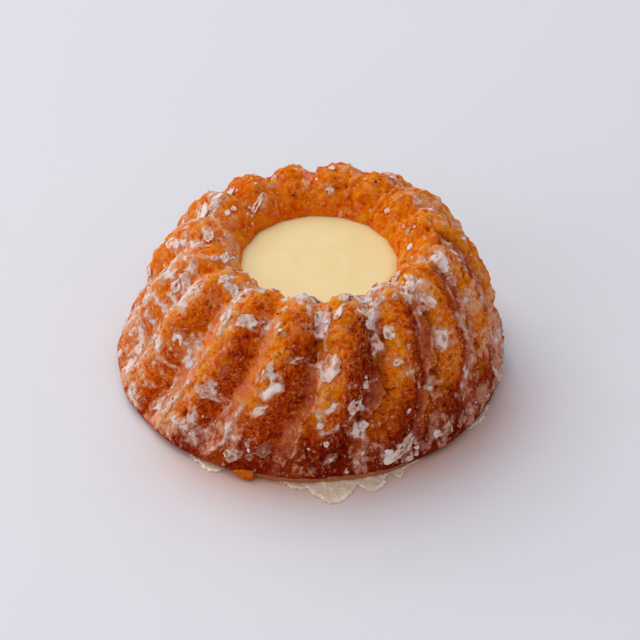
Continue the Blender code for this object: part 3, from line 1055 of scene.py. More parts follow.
@dataclass(frozen=True)
class CrustFinish:
    """Orange-brown porous crumb, with pinkish glaze in the grooves and white where it dried."""

    name: str = "glazed_crumb"
    tones: tuple[tuple[float, Colour], ...] = (
        (0.31, (140, 22, 0)),
        (0.43, (204, 62, 0)),
        (0.57, (236, 100, 1)),
        (0.73, (246, 130, 2)),
        (0.92, (253, 164, 34)),
    )
    # A dark red-brown for baked crust and for painted shade, mixed in by the bake-and-shade layer and in the
    # pits.
    baked: Colour = (112, 9, 0)
    wash: Colour = (253, 170, 104)
    fleck: Colour = (255, 200, 156)
    haze: Colour = (246, 164, 112)
    # Haze where the crust is baked and where shade is painted.
    haze_baked_and_shaded: Colour = (248, 178, 146)
    glaze_thin: Colour = (222, 102, 36)
    glaze_thick: Colour = (236, 150, 108)
    # Glaze film where the crust is baked and where shade is painted.
    glaze_baked_and_shaded: Colour = (180, 92, 56)
    frost: Colour = (255, 228, 218)
    frost_thin: Colour = (252, 178, 126)
    dull: Colour = (160, 160, 160)
    satin: Colour = (135, 135, 135)
    glossy: Colour = (96, 96, 96)
    crumb_grain: Grain = Grain(0.00095, 5.0, 0.68)
    spot_grain: Grain = Grain(0.0075, 2.0, 0.5, 4.0)
    pit_grain: Grain = Grain(0.00125, 2.5, 0.5, 51.0)
    pit_areas: Grain = Grain(0.0060, 2.0, shift=55.0)
    veil_areas: Grain = Grain(0.0040, 3.0, 0.6, 9.0)
    veil_grain: Grain = Grain(0.0008, 4.0, 0.7, 14.0)
    fleck_grain: Grain = Grain(0.00085, 4.0, 0.62, 17.0, 0.6)
    fleck_areas: Grain = Grain(0.0064, 2.0, shift=21.0)
    ragged_grain: Grain = Grain(0.0012, 4.0, 0.65, 3.0)
    cloud_grain: Grain = Grain(0.0024, 5.0, 0.66, 5.0, 0.5)
    thin_grain: Grain = Grain(0.0015, 5.0, 0.72, 31.0, 0.6)
    grit_grain: Grain = Grain(0.00090, 6.0, 0.72, 8.0, 0.4)
    lace_grain: Grain = Grain(0.0026, 6.0, 0.66, 41.0, 1.3)
    crystal_grain: Grain = Grain(0.00062, 3.0, 0.6, 61.0)
    dust_areas: Grain = Grain(0.0046, 3.0, 0.6, 12.0)
    fine_grain: Grain = Grain(0.00032, 3.0, 0.6, 2.0)

    def crumb(self, nodes: Shading, bake: Value) -> Value:
        """Colours the crumb: yellow on bumps, red in hollows, and dark with bake and painted shade.

        Args:
            nodes: The material's nodes.
            bake: How dark the crust is, from baking and painted shade.

        Returns:
            The crumb's colour.
        """
        porous = nodes.attribute("porous")
        tint = (nodes.noise(self.crumb_grain) - 0.5) * (porous * 0.60 + 0.70) + 0.42
        tint += nodes.attribute("relief") * 0.32
        tint += nodes.noise(self.spot_grain) * 0.16 - bake * 0.14
        colour = nodes.ramp(tint, self.tones)
        # Dark pits in the crumb's pores: painted shade.
        pits = nodes.band(self.pit_grain, 0.60, 0.67) * porous * nodes.band(self.pit_areas, 0.40, 0.62)
        colour = nodes.mix(pits * 0.85, colour, self.baked)
        return nodes.mix(bake * 0.86, colour, self.baked)

    def veiled(self, nodes: Shading, colour: Value, bake: Value) -> Value:
        """Lays a thin pale veil and flecks over the crumb.

        Args:
            nodes: The material's nodes.
            colour: The crumb's colour.
            bake: How dark the crust is, from baking and painted shade.

        Returns:
            The colour with both.
        """
        veil = nodes.noise(self.veil_areas) * 0.62 + nodes.noise(self.veil_grain) * 0.38
        veil = nodes.maths("SUBTRACT", nodes.span(veil, 0.50, 0.66) * 0.40, bake * 0.7, clamp=True)
        colour = nodes.mix(veil, colour, self.wash)
        often = nodes.band(self.fleck_areas, 0.42, 0.64, 0.05, 0.75)
        often = nodes.maths("SUBTRACT", often, bake * 0.3, clamp=True)
        return nodes.mix(nodes.band(self.fleck_grain, 0.57, 0.68) * often, colour, self.fleck)

    def filmed(self, nodes: Shading, colour: Value, glazed: Value, bake: Value) -> Value:
        """Lays the clear film of glaze over the crumb.

        Args:
            nodes: The material's nodes.
            colour: The crumb's colour.
            glazed: Where the film lies.
            bake: How dark the crust is, from baking and painted shade.

        Returns:
            The colour with the film.
        """
        film = nodes.mix(nodes.band(self.cloud_grain, 0.34, 0.64), self.glaze_thin, self.glaze_thick)
        # Darker film, and less of it, with the bake and the painted shade.
        film = nodes.mix(nodes.maths("MULTIPLY", bake, 1.2, clamp=True), film, self.glaze_baked_and_shaded)
        cover = nodes.band(self.thin_grain, 0.37, 0.63, 0.12, 0.90) * nodes.span(bake, 0.1, 0.7, 1.0, 0.62)
        return nodes.mix(glazed * cover, colour, film)

    def frosted(self, nodes: Shading, colour: Value, bake: Value) -> tuple[Value, Value]:
        """Lays haze and white frost over the rest.

        Args:
            nodes: The material's nodes.
            colour: The colour below.
            bake: How dark the crust is, from baking and painted shade.

        Returns:
            The colour with both, and where the frost lies.
        """
        grit = (nodes.noise(self.grit_grain) - 0.5) * 1.7
        lace = (nodes.noise(self.lace_grain) - 0.5) * 2.1
        mist = nodes.attribute("haze") + grit * 1.25 + lace * 0.75
        cloudy = nodes.mix(nodes.span(mist, 0.60, 1.25), self.haze, self.fleck)
        cloudy = nodes.mix(nodes.span(bake, 0.25, 0.85), cloudy, self.haze_baked_and_shaded)
        hazy = nodes.span(mist, 0.46, 1.12) * 0.80 * nodes.span(bake, 0.2, 0.8, 1.0, 0.78)
        colour = nodes.mix(hazy, colour, cloudy)
        rime = nodes.attribute("frost") + grit + lace
        white = nodes.mix(nodes.span(rime, 0.30, 0.75), self.frost_thin, self.frost)
        frost = nodes.span(rime, 0.30, 0.90)
        return nodes.mix(frost * nodes.span(bake, 0.1, 0.8, 0.96, 0.76), colour, white), frost

    def material(self) -> bpy.types.Material:
        """Builds the nodes, or finds the material where it is there.

        Returns:
            The material.
        """
        if self.name in bpy.data.materials:
            return bpy.data.materials[self.name]
        nodes = Shading(self.name)
        bake = nodes.attribute("bake")
        ragged = (nodes.noise(self.ragged_grain) - 0.5) * 1.6
        glazed = nodes.span(nodes.attribute("glaze") + ragged, 0.12, 1.25)
        colour = self.veiled(nodes, self.crumb(nodes, bake), bake)
        colour, frost = self.frosted(nodes, self.filmed(nodes, colour, glazed, bake), bake)
        dusted = nodes.band(self.dust_areas, 0.46, 0.62) * nodes.span(glazed, 0.0, 1.0, 0.55, 0.40)
        crystals = nodes.band(self.crystal_grain, 0.57, 0.66) * dusted
        nodes.set("Base Color", nodes.mix(crystals, colour, self.fleck))
        nodes.set("Roughness", nodes.mix(frost, nodes.mix(glazed, self.dull, self.glossy), self.satin))
        bare = nodes.maths("SUBTRACT", 1.0, glazed, clamp=True)
        crumbly = nodes.bump(nodes.noise(self.fine_grain) * bare, 0.00050)
        nodes.set("Normal", nodes.bump(frost, 0.00014, below=crumbly))
        nodes.scatter(0.30, (0.0018, 0.0006, 0.0002))
        nodes.set("Specular IOR Level", 0.02)
        nodes.set("Coat Weight", glazed * nodes.span(bake, 0.1, 0.8, 0.36, 0.16))
        nodes.set("Coat Roughness", 0.28)
        return nodes.material


@dataclass(frozen=True)
class SugarFinish:
    """Dried glaze: whitest at the rims, and clear and stained by the crumb where it is thin."""

    name: str = "dried_sugar"
    white: Colour = (255, 230, 220)
    stained: Colour = (246, 182, 148)
    white_edge: tuple[float, float] = (0.42, 1.0)
    clouds: Grain = Grain(0.0013, 4.0, 0.6)
    clear: float = 0.85
    clear_edge: tuple[float, float] = (0.30, 0.78)
    ripple_size: float = 0.0013 / 3
    ripple_height: float = 0.00012
    ripple_strength: float = 0.9
    roughness: float = 0.42
    softness: float = 0.35
    reach: Colour = (0.0012, 0.0008, 0.0006)
    gloss: float = 0.35

    def material(self) -> bpy.types.Material:
        """Builds the nodes.

        Returns:
            The material.
        """
        nodes = Shading(self.name)
        cloud = nodes.noise(self.clouds) + nodes.attribute("white")
        ripple = nodes.noise(Grain(self.ripple_size))
        nodes.set("Alpha", nodes.span(cloud, *self.clear_edge, 1 - self.clear, 1.0))
        nodes.set("Base Color", nodes.mix(nodes.span(cloud, *self.white_edge), self.stained, self.white))
        nodes.set("Roughness", self.roughness)
        nodes.set("Normal", nodes.bump(ripple, self.ripple_height, self.ripple_strength))
        nodes.scatter(self.softness, self.reach)
        nodes.set("Specular IOR Level", self.gloss)
        return nodes.material


@dataclass(frozen=True)
class CreamFinish:
    """Smooth pale lemon cream."""

    body: Colour = (255, 227, 166)
    shade: Colour = (254, 223, 158)
    swirl: Grain = Grain(0.0060, 3.0, 0.45)
    ripple: Grain = Grain(0.0040, 2.0, 0.4)

    def material(self) -> bpy.types.Material:
        """Builds the nodes.

        Returns:
            The material.
        """
        nodes = Shading("lemon_cream")
        nodes.set("Base Color", nodes.mix(nodes.band(self.swirl, 0.35, 0.65), self.shade, self.body))
        nodes.set("Roughness", 0.42)
        nodes.set("Normal", nodes.bump(nodes.noise(self.ripple), 0.00010, 0.2))
        nodes.scatter(0.5, (0.0030, 0.0022, 0.0010))
        return nodes.material


@dataclass(frozen=True)
class SpeckFinish:
    """Burnt crumbs, nearly black."""

    burnt: Colour = (46, 22, 12)
    brown: Colour = (92, 44, 18)
    grain: Grain = Grain(0.0006, 2.0)

    def material(self) -> bpy.types.Material:
        """Builds the nodes.

        Returns:
            The material.
        """
        nodes = Shading("burnt_specks")
        nodes.set("Base Color", nodes.mix(nodes.noise(self.grain), self.burnt, self.brown))
        nodes.set("Roughness", 0.6)
        return nodes.material


@dataclass(frozen=True)
class TableFinish:
    """A plain pale surface with a satin sheen, and painted warm bounce light round the front of the cake."""

    pale: Colour = (230, 230, 232)
    shade: Colour = (228, 228, 230)
    tones: Grain = Grain(0.05, 2.0)
    # Painted bounce light: the cake's warm colour on the table, strongest at the front right, fading
    # outwards.
    painted_bounce: Colour = (224, 172, 148)
    painted_bounce_angle: float = 15.0
    foot_radius: float = 0.039
    reach: float = 0.0075

    def material(self) -> bpy.types.Material:
        """Builds the nodes.

        Returns:
            The material.
        """
        nodes = Shading("pale_table")
        plain = nodes.mix(nodes.noise(self.tones), self.pale, self.shade)
        distance, forward = nodes.polar(outward(self.painted_bounce_angle))
        past = nodes.maths("DIVIDE", distance - self.foot_radius, self.reach)
        fade = nodes.maths("MINIMUM", nodes.maths("POWER", math.exp(-1), past), 1.0)
        # Painted bounce light, fading with the distance from the cake's foot.
        nodes.set("Base Color", nodes.mix(fade * nodes.span(forward, 0.15, 0.85), plain, self.painted_bounce))
        nodes.set("Roughness", 0.45)
        return nodes.material


# ---------------------------------------------------------------- the pieces


@dataclass(frozen=True)
class GlazedRing:
    """The baked ring with its crumb and glaze, in place of the plain solid."""

    form: RingForm
    skin: CrustSkin
    finish: CrustFinish = CrustFinish()
    columns_per_flute: int = 42
    rows: tuple[int, ...] = (3, 96, 36, 2)  # from each landmark to the next

    def places(self) -> list[float]:
        """The places of the mesh's rings, from the underside to the floor of the well."""
        places = [stage + step / count for stage, count in enumerate(self.rows) for step in range(count)]
        return [*places, float(Landmark.FLOOR)]

    def spin_profile(self, bm: bmesh.types.BMesh) -> None:
        """Spins the profile round and closes it, with each point's place along it in a layer.

        Args:
            bm: The empty bmesh to build in.
        """
        place_of = bm.verts.layers.float.new("place")
        line = []
        for place in self.places():
            radius, height = self.form.ridge_line(place)
            vert = bm.verts.new((0, -radius, height))
            vert[place_of] = place
            line.append(vert)
        edges = [bm.edges.new(pair) for pair in zip(line, line[1:])]
        steps = self.form.flutes * self.columns_per_flute
        bmesh.ops.spin(bm, geom=line + edges, axis=(0, 0, 1), angle=2 * math.pi, steps=steps, use_merge=True)
        bmesh.ops.holes_fill(bm, edges=[edge for edge in bm.edges if edge.is_boundary])

    def build(self) -> bpy.types.Object:
        """Models the ring and dresses it.

        Returns:
            The piece.
        """
        bm = bmesh.new()
        self.spin_profile(bm)
        layers = bm.verts.layers.float
        for name in SKIN_LAYERS:
            layers.new(name)
        place_of = layers["place"]
        skin_of = [(layers[name], name) for name in SKIN_LAYERS]
        for vert in bm.verts:
            angle = math.degrees(math.atan2(vert.co.x, -vert.co.y)) + self.form.ridge_angle
            place = vert[place_of]
            skin = self.skin.sample(angle, place)
            vert.co = self.form.point(angle, place, skin.lift)
            for layer, name in skin_of:
                vert[layer] = getattr(skin, name)
        layers.remove(layers["place"])
        return finish_piece("glazed_ring", bm, self.finish.material(), Slot.CRUST, "cake")


@dataclass(frozen=True)
class BatterLump:
    """The lump of batter that ran over the tin's edge and baked on the rim."""

    form: RingForm
    finish: CrustFinish = CrustFinish()
    angle: float = -18.6
    height: float = 0.0012
    half_widths: tuple[float, float, float] = (0.0022, 0.0010, 0.0011)
    lumpiness: float = 0.00075
    bare: SkinSample = SkinSample(0.0, 0.0, 0.0, 0.25, 0.44, 0.26, 0.6)
    mottle: float = 0.4
    clearance: float = 0.00012

    def build(self) -> bpy.types.Object:
        """Models the lump and dresses it as golden bare crumb.

        Returns:
            The piece.
        """
        bm = bmesh.new()
        bmesh.ops.create_icosphere(bm, subdivisions=4, radius=1)
        turn = Matrix.Rotation(math.radians(self.angle), 4, "Z")
        place = Matrix.Translation((0, -self.form.base_radius, self.height))
        size = Matrix.Diagonal((*self.half_widths, 1))
        layers = {name: bm.verts.layers.float.new(name) for name in SKIN_LAYERS}
        for vert in bm.verts:
            rough = noise.fractal(vert.co * 1.5, 0.9, 2.1, 4)
            for name, layer in layers.items():
                vert[layer] = getattr(self.bare, name)
            # Paler where the lump bulges out: mottling, with painted light on the bulges.
            vert[layers["relief"]] += self.mottle * rough
            vert.co += vert.co.normalized() * rough * self.lumpiness / self.half_widths[0]
        bmesh.ops.transform(bm, matrix=turn @ place @ size, verts=bm.verts)
        for vert in bm.verts:
            vert.co.z = max(vert.co.z, self.clearance)
        return finish_piece("batter_lump", bm, self.finish.material(), Slot.CRUST)


@dataclass(frozen=True)
class SugarFlakes:
    """The flakes of dried glaze as thin, curled and crumpled ragged plates."""

    form: RingForm
    flakes: list[Flake]
    finish: SugarFinish = SugarFinish()
    cells: int = 14
    thickness: float = 0.00034
    bedding: float = 0.0010
    lift: tuple[float, float] = (0.00010, 0.00034)
    curl: float = 0.00055
    crumple: float = 0.00024
    holed_share: float = 0.28
    small: float = 0.0041
    small_tones: tuple[float, float] = (-0.10, 0.30)
    large_tones: tuple[float, float] = (0.10, 0.40)
    rim_tones: tuple[float, float] = (-0.55, 0.30)
    low_tone: float = 0.24
    low_places: tuple[float, float] = (1.14, 1.30)
    hole_radius: float = 0.30
    hole_offset: float = 0.6
    outline_radius: float = 1.02
    seed: int = 20

    def plate(self, bm: bmesh.types.BMesh, key: Vector, holed: bool) -> list[bmesh.types.BMVert]:
        """Models a ragged round plate from 0 to 1 high and of radius 1.

        Args:
            bm: The bmesh to add it to.
            key: Where the noise is read that makes this plate its own.
            holed: Whether it has a hole.

        Returns:
            The plate's points.
        """
        verts = bmesh.ops.create_grid(bm, x_segments=self.cells, y_segments=self.cells, size=1)["verts"]
        for vert in verts:
            x, y = vert.co.x, vert.co.y
            vert.co.x = x * math.sqrt(1 - y * y / 2)
            vert.co.y = y * math.sqrt(1 - x * x / 2)
        middle = Vector((noise.noise(key), noise.noise(key * 1.3), 0)) * self.hole_offset
        gone, kept = [], []
        for face in faces_at(verts):
            centre = face.calc_center_median()
            gap = (centre - middle).length + 0.30 * noise.noise(centre * 2.6 + key)
            bite = centre.length - 0.34 * noise.noise(centre * 2.2 - key)
            cut = (holed and gap < self.hole_radius) or bite > self.outline_radius
            (gone if cut else kept).append(face)
        bmesh.ops.delete(bm, geom=gone, context="FACES")
        lower = list(dict.fromkeys(vert for face in kept for vert in face.verts))
        upper = doubled(bm, kept)
        bmesh.ops.translate(bm, verts=upper, vec=(0, 0, 1))
        return lower + upper

    def bend(self, verts: Iterable[bmesh.types.BMVert], flake: Flake, key: Vector, base: float) -> None:
        """Lays a plate on the crust as one ragged, curled flake.

        Args:
            verts: The plate's points.
            flake: Where it lies, and its size.
            key: Where the noise is read that makes this flake its own.
            base: How far over the crust its upper face is.
        """
        _, around, along, out = self.form.frame_at(flake.angle, flake.place)
        turn = math.radians(flake.turn)
        lowest = Landmark.RIM + 0.02
        for vert in verts:
            x, y, high = vert.co
            spoke = Vector((x, y, 0))
            reach = spoke.length
            wind = spoke.normalized() if reach > 1e-6 else spoke
            ragged = 0.42 * noise.noise(wind * 0.9 + key) + 0.22 * noise.noise(wind * 2.6 + key)
            ragged += 0.10 * noise.noise(spoke * 6.0 + key)
            spread = 1 + ragged * reach
            across = flake.width / 2 * x * spread
            upwards = flake.length / 2 * y * spread
            sideways_step = (across * math.cos(turn) + upwards * math.sin(turn)) / around.length
            upward_step = (upwards * math.cos(turn) - across * math.sin(turn)) / along.length
            place = max(flake.place + upward_step, lowest)
            curl = (noise.noise(wind * 0.8 + key * 1.7) + 0.05) * self.curl * reach * reach * 1.6
            crumple = noise.noise(spoke * 2.4 + key) + 0.6 * noise.noise(spoke * 5.5 + key)
            lift = base + curl + crumple * self.crumple
            lift += (high - 1) * (self.thickness + self.bedding * (1 - step_between(reach, 0.3, 0.8)))
            vert.co = self.form.point(flake.angle + sideways_step, place) + out * lift

    def build(self) -> bpy.types.Object:
        """Models all the flakes and dresses them.

        Returns:
            The piece.
        """
        draw = random.Random(self.seed)
        bm = bmesh.new()
        white_of = bm.verts.layers.float.new("white")
        for flake in self.flakes:
            key = Vector((draw.uniform(0, 50), draw.uniform(0, 50), draw.uniform(0, 50)))
            verts = self.plate(bm, key, draw.random() < self.holed_share)
            tone = draw.uniform(*(self.small_tones if flake.length < self.small else self.large_tones))
            tone -= self.low_tone * (1 - step_between(flake.place, *self.low_places))
            rim = draw.uniform(*self.rim_tones)
            for vert in verts:
                fade = noise.noise(vert.co * 1.5 + key) * 0.3
                vert[white_of] = tone + fade + rim * step_between(vert.co.xy.length, 0.45, 1.0)
            self.bend(verts, flake, key, draw.uniform(*self.lift))
        return finish_piece("sugar_flakes", bm, self.finish.material(), Slot.SUGAR, crisp=40)


@dataclass(frozen=True)
class SugarChips:
    """Chips of dried glaze, too small for the solid, scattered where the glaze dried white."""

    form: RingForm
    skin: CrustSkin
    finish: SugarFinish = SugarFinish("sugar_chips", clouds=Grain(0.0006, 4.0, 0.6), ripple_size=0.0002)
    count: int = 560
    sides: tuple[int, int] = (5, 8)
    length: tuple[float, float] = (0.0006, 0.0026)
    places: tuple[float, float] = (1.03, 2.62)
    crowding: float = 1.3
    bare_chance: float = 0.06
    frosted_chance: float = 0.8
    thickness: float = 0.00024
    thickness_range: tuple[float, float] = (0.5, 1.2)
    corner_range: tuple[float, float] = (0.55, 1.3)
    flatness: float = 0.8
    taper: float = 0.86
    bedded_share: float = 0.25
    tones: tuple[float, float] = (-0.15, 0.45)
    tilt: float = 0.22
    seed: int = 5

    def build(self) -> bpy.types.Object:
        """Models the chips on the crust and dresses them.

        Returns:
            The piece.
        """
        draw = random.Random(self.seed)
        bm = bmesh.new()
        bm.verts.layers.float.new("white")
        made = 0
        while made < self.count:
            low, high = self.places
            place = low + (high - low) * draw.random() ** self.crowding
            angle = draw.uniform(-180, 180)
            skin = self.skin.sample(angle, place)
            if draw.random() > self.bare_chance * (1 - skin.glaze) + self.frosted_chance * skin.frost:
                continue
            self.add_chip(bm, angle, place, skin.lift, draw)
            made += 1
        return finish_piece("sugar_chips", bm, self.finish.material(), Slot.SUGAR, crisp=30)

    def add_chip(
        self, bm: bmesh.types.BMesh, angle: float, place: float, lift: float, draw: random.Random
    ) -> None:
        """Models one chip: a flat uneven shard, tilted as it lies.

        Args:
            bm: The bmesh to add it to.
            angle: The flute angle.
            place: Where along the profile.
            lift: How far the skin stands over the crust there.
            draw: Where the chip's sizes and turns come from.
        """
        _, around, _, out = self.form.frame_at(angle, place)
        length = self.length[0] + (self.length[1] - self.length[0]) * draw.random() ** 1.7
        sides = draw.randint(*self.sides)
        chip = bmesh.ops.create_circle(bm, cap_ends=True, segments=sides, radius=length / 2)["verts"]
        for vert in chip:
            vert.co *= draw.uniform(*self.corner_range)
            vert.co.y *= self.flatness
        upper = doubled(bm, faces_at(chip))
        thick = self.thickness * draw.uniform(*self.thickness_range)
        white_of = bm.verts.layers.float["white"]
        tone = draw.uniform(*self.tones)
        for vert in upper:
            vert.co = Vector((vert.co.x * self.taper, vert.co.y * self.taper, thick))
        for vert in chip + upper:
            vert[white_of] = tone
        side = around.normalized()
        stand = Matrix((side, out.cross(side), out)).transposed().to_4x4()
        tilt = Matrix.Rotation(draw.gauss(0, self.tilt), 4, "X")
        tilt @= Matrix.Rotation(draw.uniform(0, 6.28), 4, "Z")
        at = Matrix.Translation(self.form.point(angle, place, lift - thick * self.bedded_share))
        bmesh.ops.transform(bm, matrix=at @ stand @ tilt, verts=chip + upper)


@dataclass(frozen=True)
class Lobe:
    """One lobe of a run-off's outline: its middle angle, half its width, its reach and how blunt it is."""

    middle: float
    half_width: float
    reach: float
    bluntness: float = 1.0

    def reach_at(self, angle: float) -> float:
        """Measures the lobe.

        Args:
            angle: The true angle.

        Returns:
            How far past the rim the lobe goes there.
        """
        share = (angle - self.middle) / self.half_width
        if abs(share) >= 1:
            return 0.0
        return self.reach * math.cos(math.pi / 2 * share) ** self.bluntness


@dataclass(frozen=True)
class Apron:
    """One run-off from a first to a last angle: a narrow strip, with lobes."""

    first: float
    last: float
    strip: float
    lobes: tuple[Lobe, ...]

    def reach_at(self, angle: float) -> float:
        """Measures the apron.

        Args:
            angle: The true angle.

        Returns:
            How far past the rim the apron goes there.
        """
        share = min(max((angle - self.first) / (self.last - self.first), 0.0), 1.0)
        strip = self.strip * math.sin(math.pi * share) ** 0.5
        return max([strip, *(lobe.reach_at(angle) for lobe in self.lobes)])


@dataclass(frozen=True)
class GlazeRunOffs:
    """The thin ragged aprons of glaze that ran out under the rim and dried on the table."""

    form: RingForm
    finish: SugarFinish = SugarFinish(
        name="dried_run_off",
        white=(255, 247, 228),
        stained=(255, 228, 198),
        clouds=Grain(0.0016, 4.0, 0.6),
        clear=0.30,
        ripple_size=0.0016 / 3,
        roughness=0.30,
        softness=0.10,
    )
    aprons: tuple[Apron, ...] = (
        Apron(
            -11,
            34,
            0.0011,
            (
                Lobe(-3.0, 5.0, 0.0024),
                Lobe(6.3, 8.6, 0.0068, 1.1),
                Lobe(17.6, 4.6, 0.0048, 0.55),
                Lobe(26.0, 1.9, 0.0029),
            ),
        ),
        Apron(-38, -26, 0.0009, (Lobe(-30.0, 5.0, 0.0019, 0.6),)),
        Apron(54, 68, 0.0004, (Lobe(61.0, 6.5, 0.0012, 0.6),)),
        Apron(143, 158, 0.0006, (Lobe(150.0, 7.0, 0.0026, 0.6),)),
        Apron(-118, -104, 0.0006, (Lobe(-111.0, 6.5, 0.0018, 0.6),)),
    )
    root_radius: float = 0.0362
    start_radius: float = 0.0397
    raggedness: tuple[float, float] = (0.00066, 0.00056)
    bottom: float = 0.00006
    thickness: tuple[float, float] = (0.00095, 0.00036)
    rolled_edge: float = 0.00034
    rolled_at: float = 0.93
    rolled_width: float = 0.05
    columns_per_degree: float = 4.0
    rows: int = 18

    def shape(
        self, verts: Iterable[bmesh.types.BMVert], apron: Apron, white_of: bmesh.types.BMLayerItem
    ) -> None:
        """Lays a unit grid out as the upper face of one apron.

        Args:
            verts: The grid's points.
            apron: The apron.
            white_of: The layer that holds how white each point is.
        """
        coarse, fine = self.raggedness
        root, tip = self.thickness
        for vert in verts:
            along, out = vert.co.x + 0.5, vert.co.y + 0.5
            angle = apron.first + (apron.last - apron.first) * along
            past = apron.reach_at(angle) + coarse * noise.noise(Vector((angle * 0.50, 1.0, 0)))
            past += fine * noise.noise(Vector((angle * 1.7, 4.0, 0)))
            past += fine * noise.noise(Vector((angle * 3.6, 9.0, 0)))
            past *= min(1.0, 12 * min(along, 1 - along))
            edge = self.start_radius + past
            radius = self.root_radius + (edge - self.root_radius) * out
            at = outward(angle) * radius
            thick = root + (tip - root) * step_between(out, 0.0, 0.8)
            thick *= 1 + 0.60 * noise.noise(at / 0.0016) + 0.35 * noise.noise(at / 0.0007)
            rolled = math.exp(-(((out - self.rolled_at) / self.rolled_width) ** 2))
            thick += self.rolled_edge * rolled * (0.6 + noise.noise(at / 0.0016))
            thick *= 1 - 0.75 * out**14
            vert[white_of] = -0.14 + 0.30 * rolled + 0.34 * noise.noise(at / 0.0028)
            vert.co = at + Vector((0, 0, self.bottom + thick))

    def build(self) -> bpy.types.Object:
        """Models the aprons and dresses them.

        Returns:
            The piece.
        """
        bm = bmesh.new()
        white_of = bm.verts.layers.float.new("white")
        for apron in self.aprons:
            columns = round((apron.last - apron.first) * self.columns_per_degree)
            grid = bmesh.ops.create_grid(bm, x_segments=columns, y_segments=self.rows, size=0.5)["verts"]
            self.shape(grid, apron, white_of)
            for vert in doubled(bm, faces_at(grid)):
                vert.co.z = self.bottom
        return finish_piece("glaze_run_offs", bm, self.finish.material(), Slot.SUGAR)


@dataclass(frozen=True)
class GlazeSkirt:
    """The film of glaze that hangs from the rim down to the table at the front."""

    form: RingForm
    finish: SugarFinish = SugarFinish(
        name="glaze_skirt",
        white=(236, 180, 146),
        stained=(198, 116, 66),
        white_edge=(0.40, 1.10),
        clouds=Grain(0.0015, 5.0, 0.68, twist=0.8),
        clear=0.40,
        clear_edge=(0.20, 0.70),
        ripple_size=0.0009,
        ripple_height=0.00006,
        ripple_strength=0.6,
        roughness=0.24,
        softness=0.4,
        reach=(0.0016, 0.0008, 0.0004),
        gloss=0.30,
    )
    first: float = -24.0
    last: float = 36.0
    places: tuple[float, float] = (1.0, 0.45)
    top_wobble: float = 0.035
    fading_share: float = 0.22
    gap: float = 0.00012
    sunk: float = 0.0003
    bulge: float = 0.0002
    reach: float = 0.0001
    wobble: float = 0.0004
    depth: float = 0.0012
    clearance: float = 0.00008
    columns: int = 220
    rows: int = 12

    def build(self) -> bpy.types.Object:
        """Models the film as a bent sheet with its back in the cake, and dresses it.

        Returns:
            The piece.
        """
        bm = bmesh.new()
        white_of = bm.verts.layers.float.new("white")
        grid = bmesh.ops.create_grid(bm, x_segments=self.columns, y_segments=self.rows, size=0.5)["verts"]
        for vert in grid:
            along, down = vert.co.x + 0.5, vert.co.y + 0.5
            true_angle = self.first + (self.last - self.first) * along
            faded = step_between(min(along, 1 - along), 0.0, self.fading_share)
            way = outward(true_angle)
            wave = noise.noise(way * 14) * 0.6 + noise.noise(way * 40) * 0.4
            top, bottom = self.places[0] + self.top_wobble * wave, self.places[1]
            place = top + (bottom - top) * down
            skin = self.form.point(self.form.flute_angle(true_angle, place), place)
            hang = step_between(down, 0.15, 1.0) * (self.reach + self.wobble * wave)
            out = self.bulge * math.sin(math.pi * down) + hang
            lift = (out + self.gap) * faded - self.sunk * (1 - faded)
            vert.co = skin + way * lift
            vert.co.z = max(vert.co.z * (1 - 0.9 * step_between(down, 0.4, 1.0)), self.clearance)
            vert[white_of] = -0.25 + 0.75 * step_between(down, 0.45, 1.0) + 0.25 * wave
        for vert in doubled(bm, faces_at(grid)):
            vert.co -= Vector((vert.co.x, vert.co.y, 0)).normalized() * self.depth
        return finish_piece("glaze_skirt", bm, self.finish.material(), Slot.SUGAR)


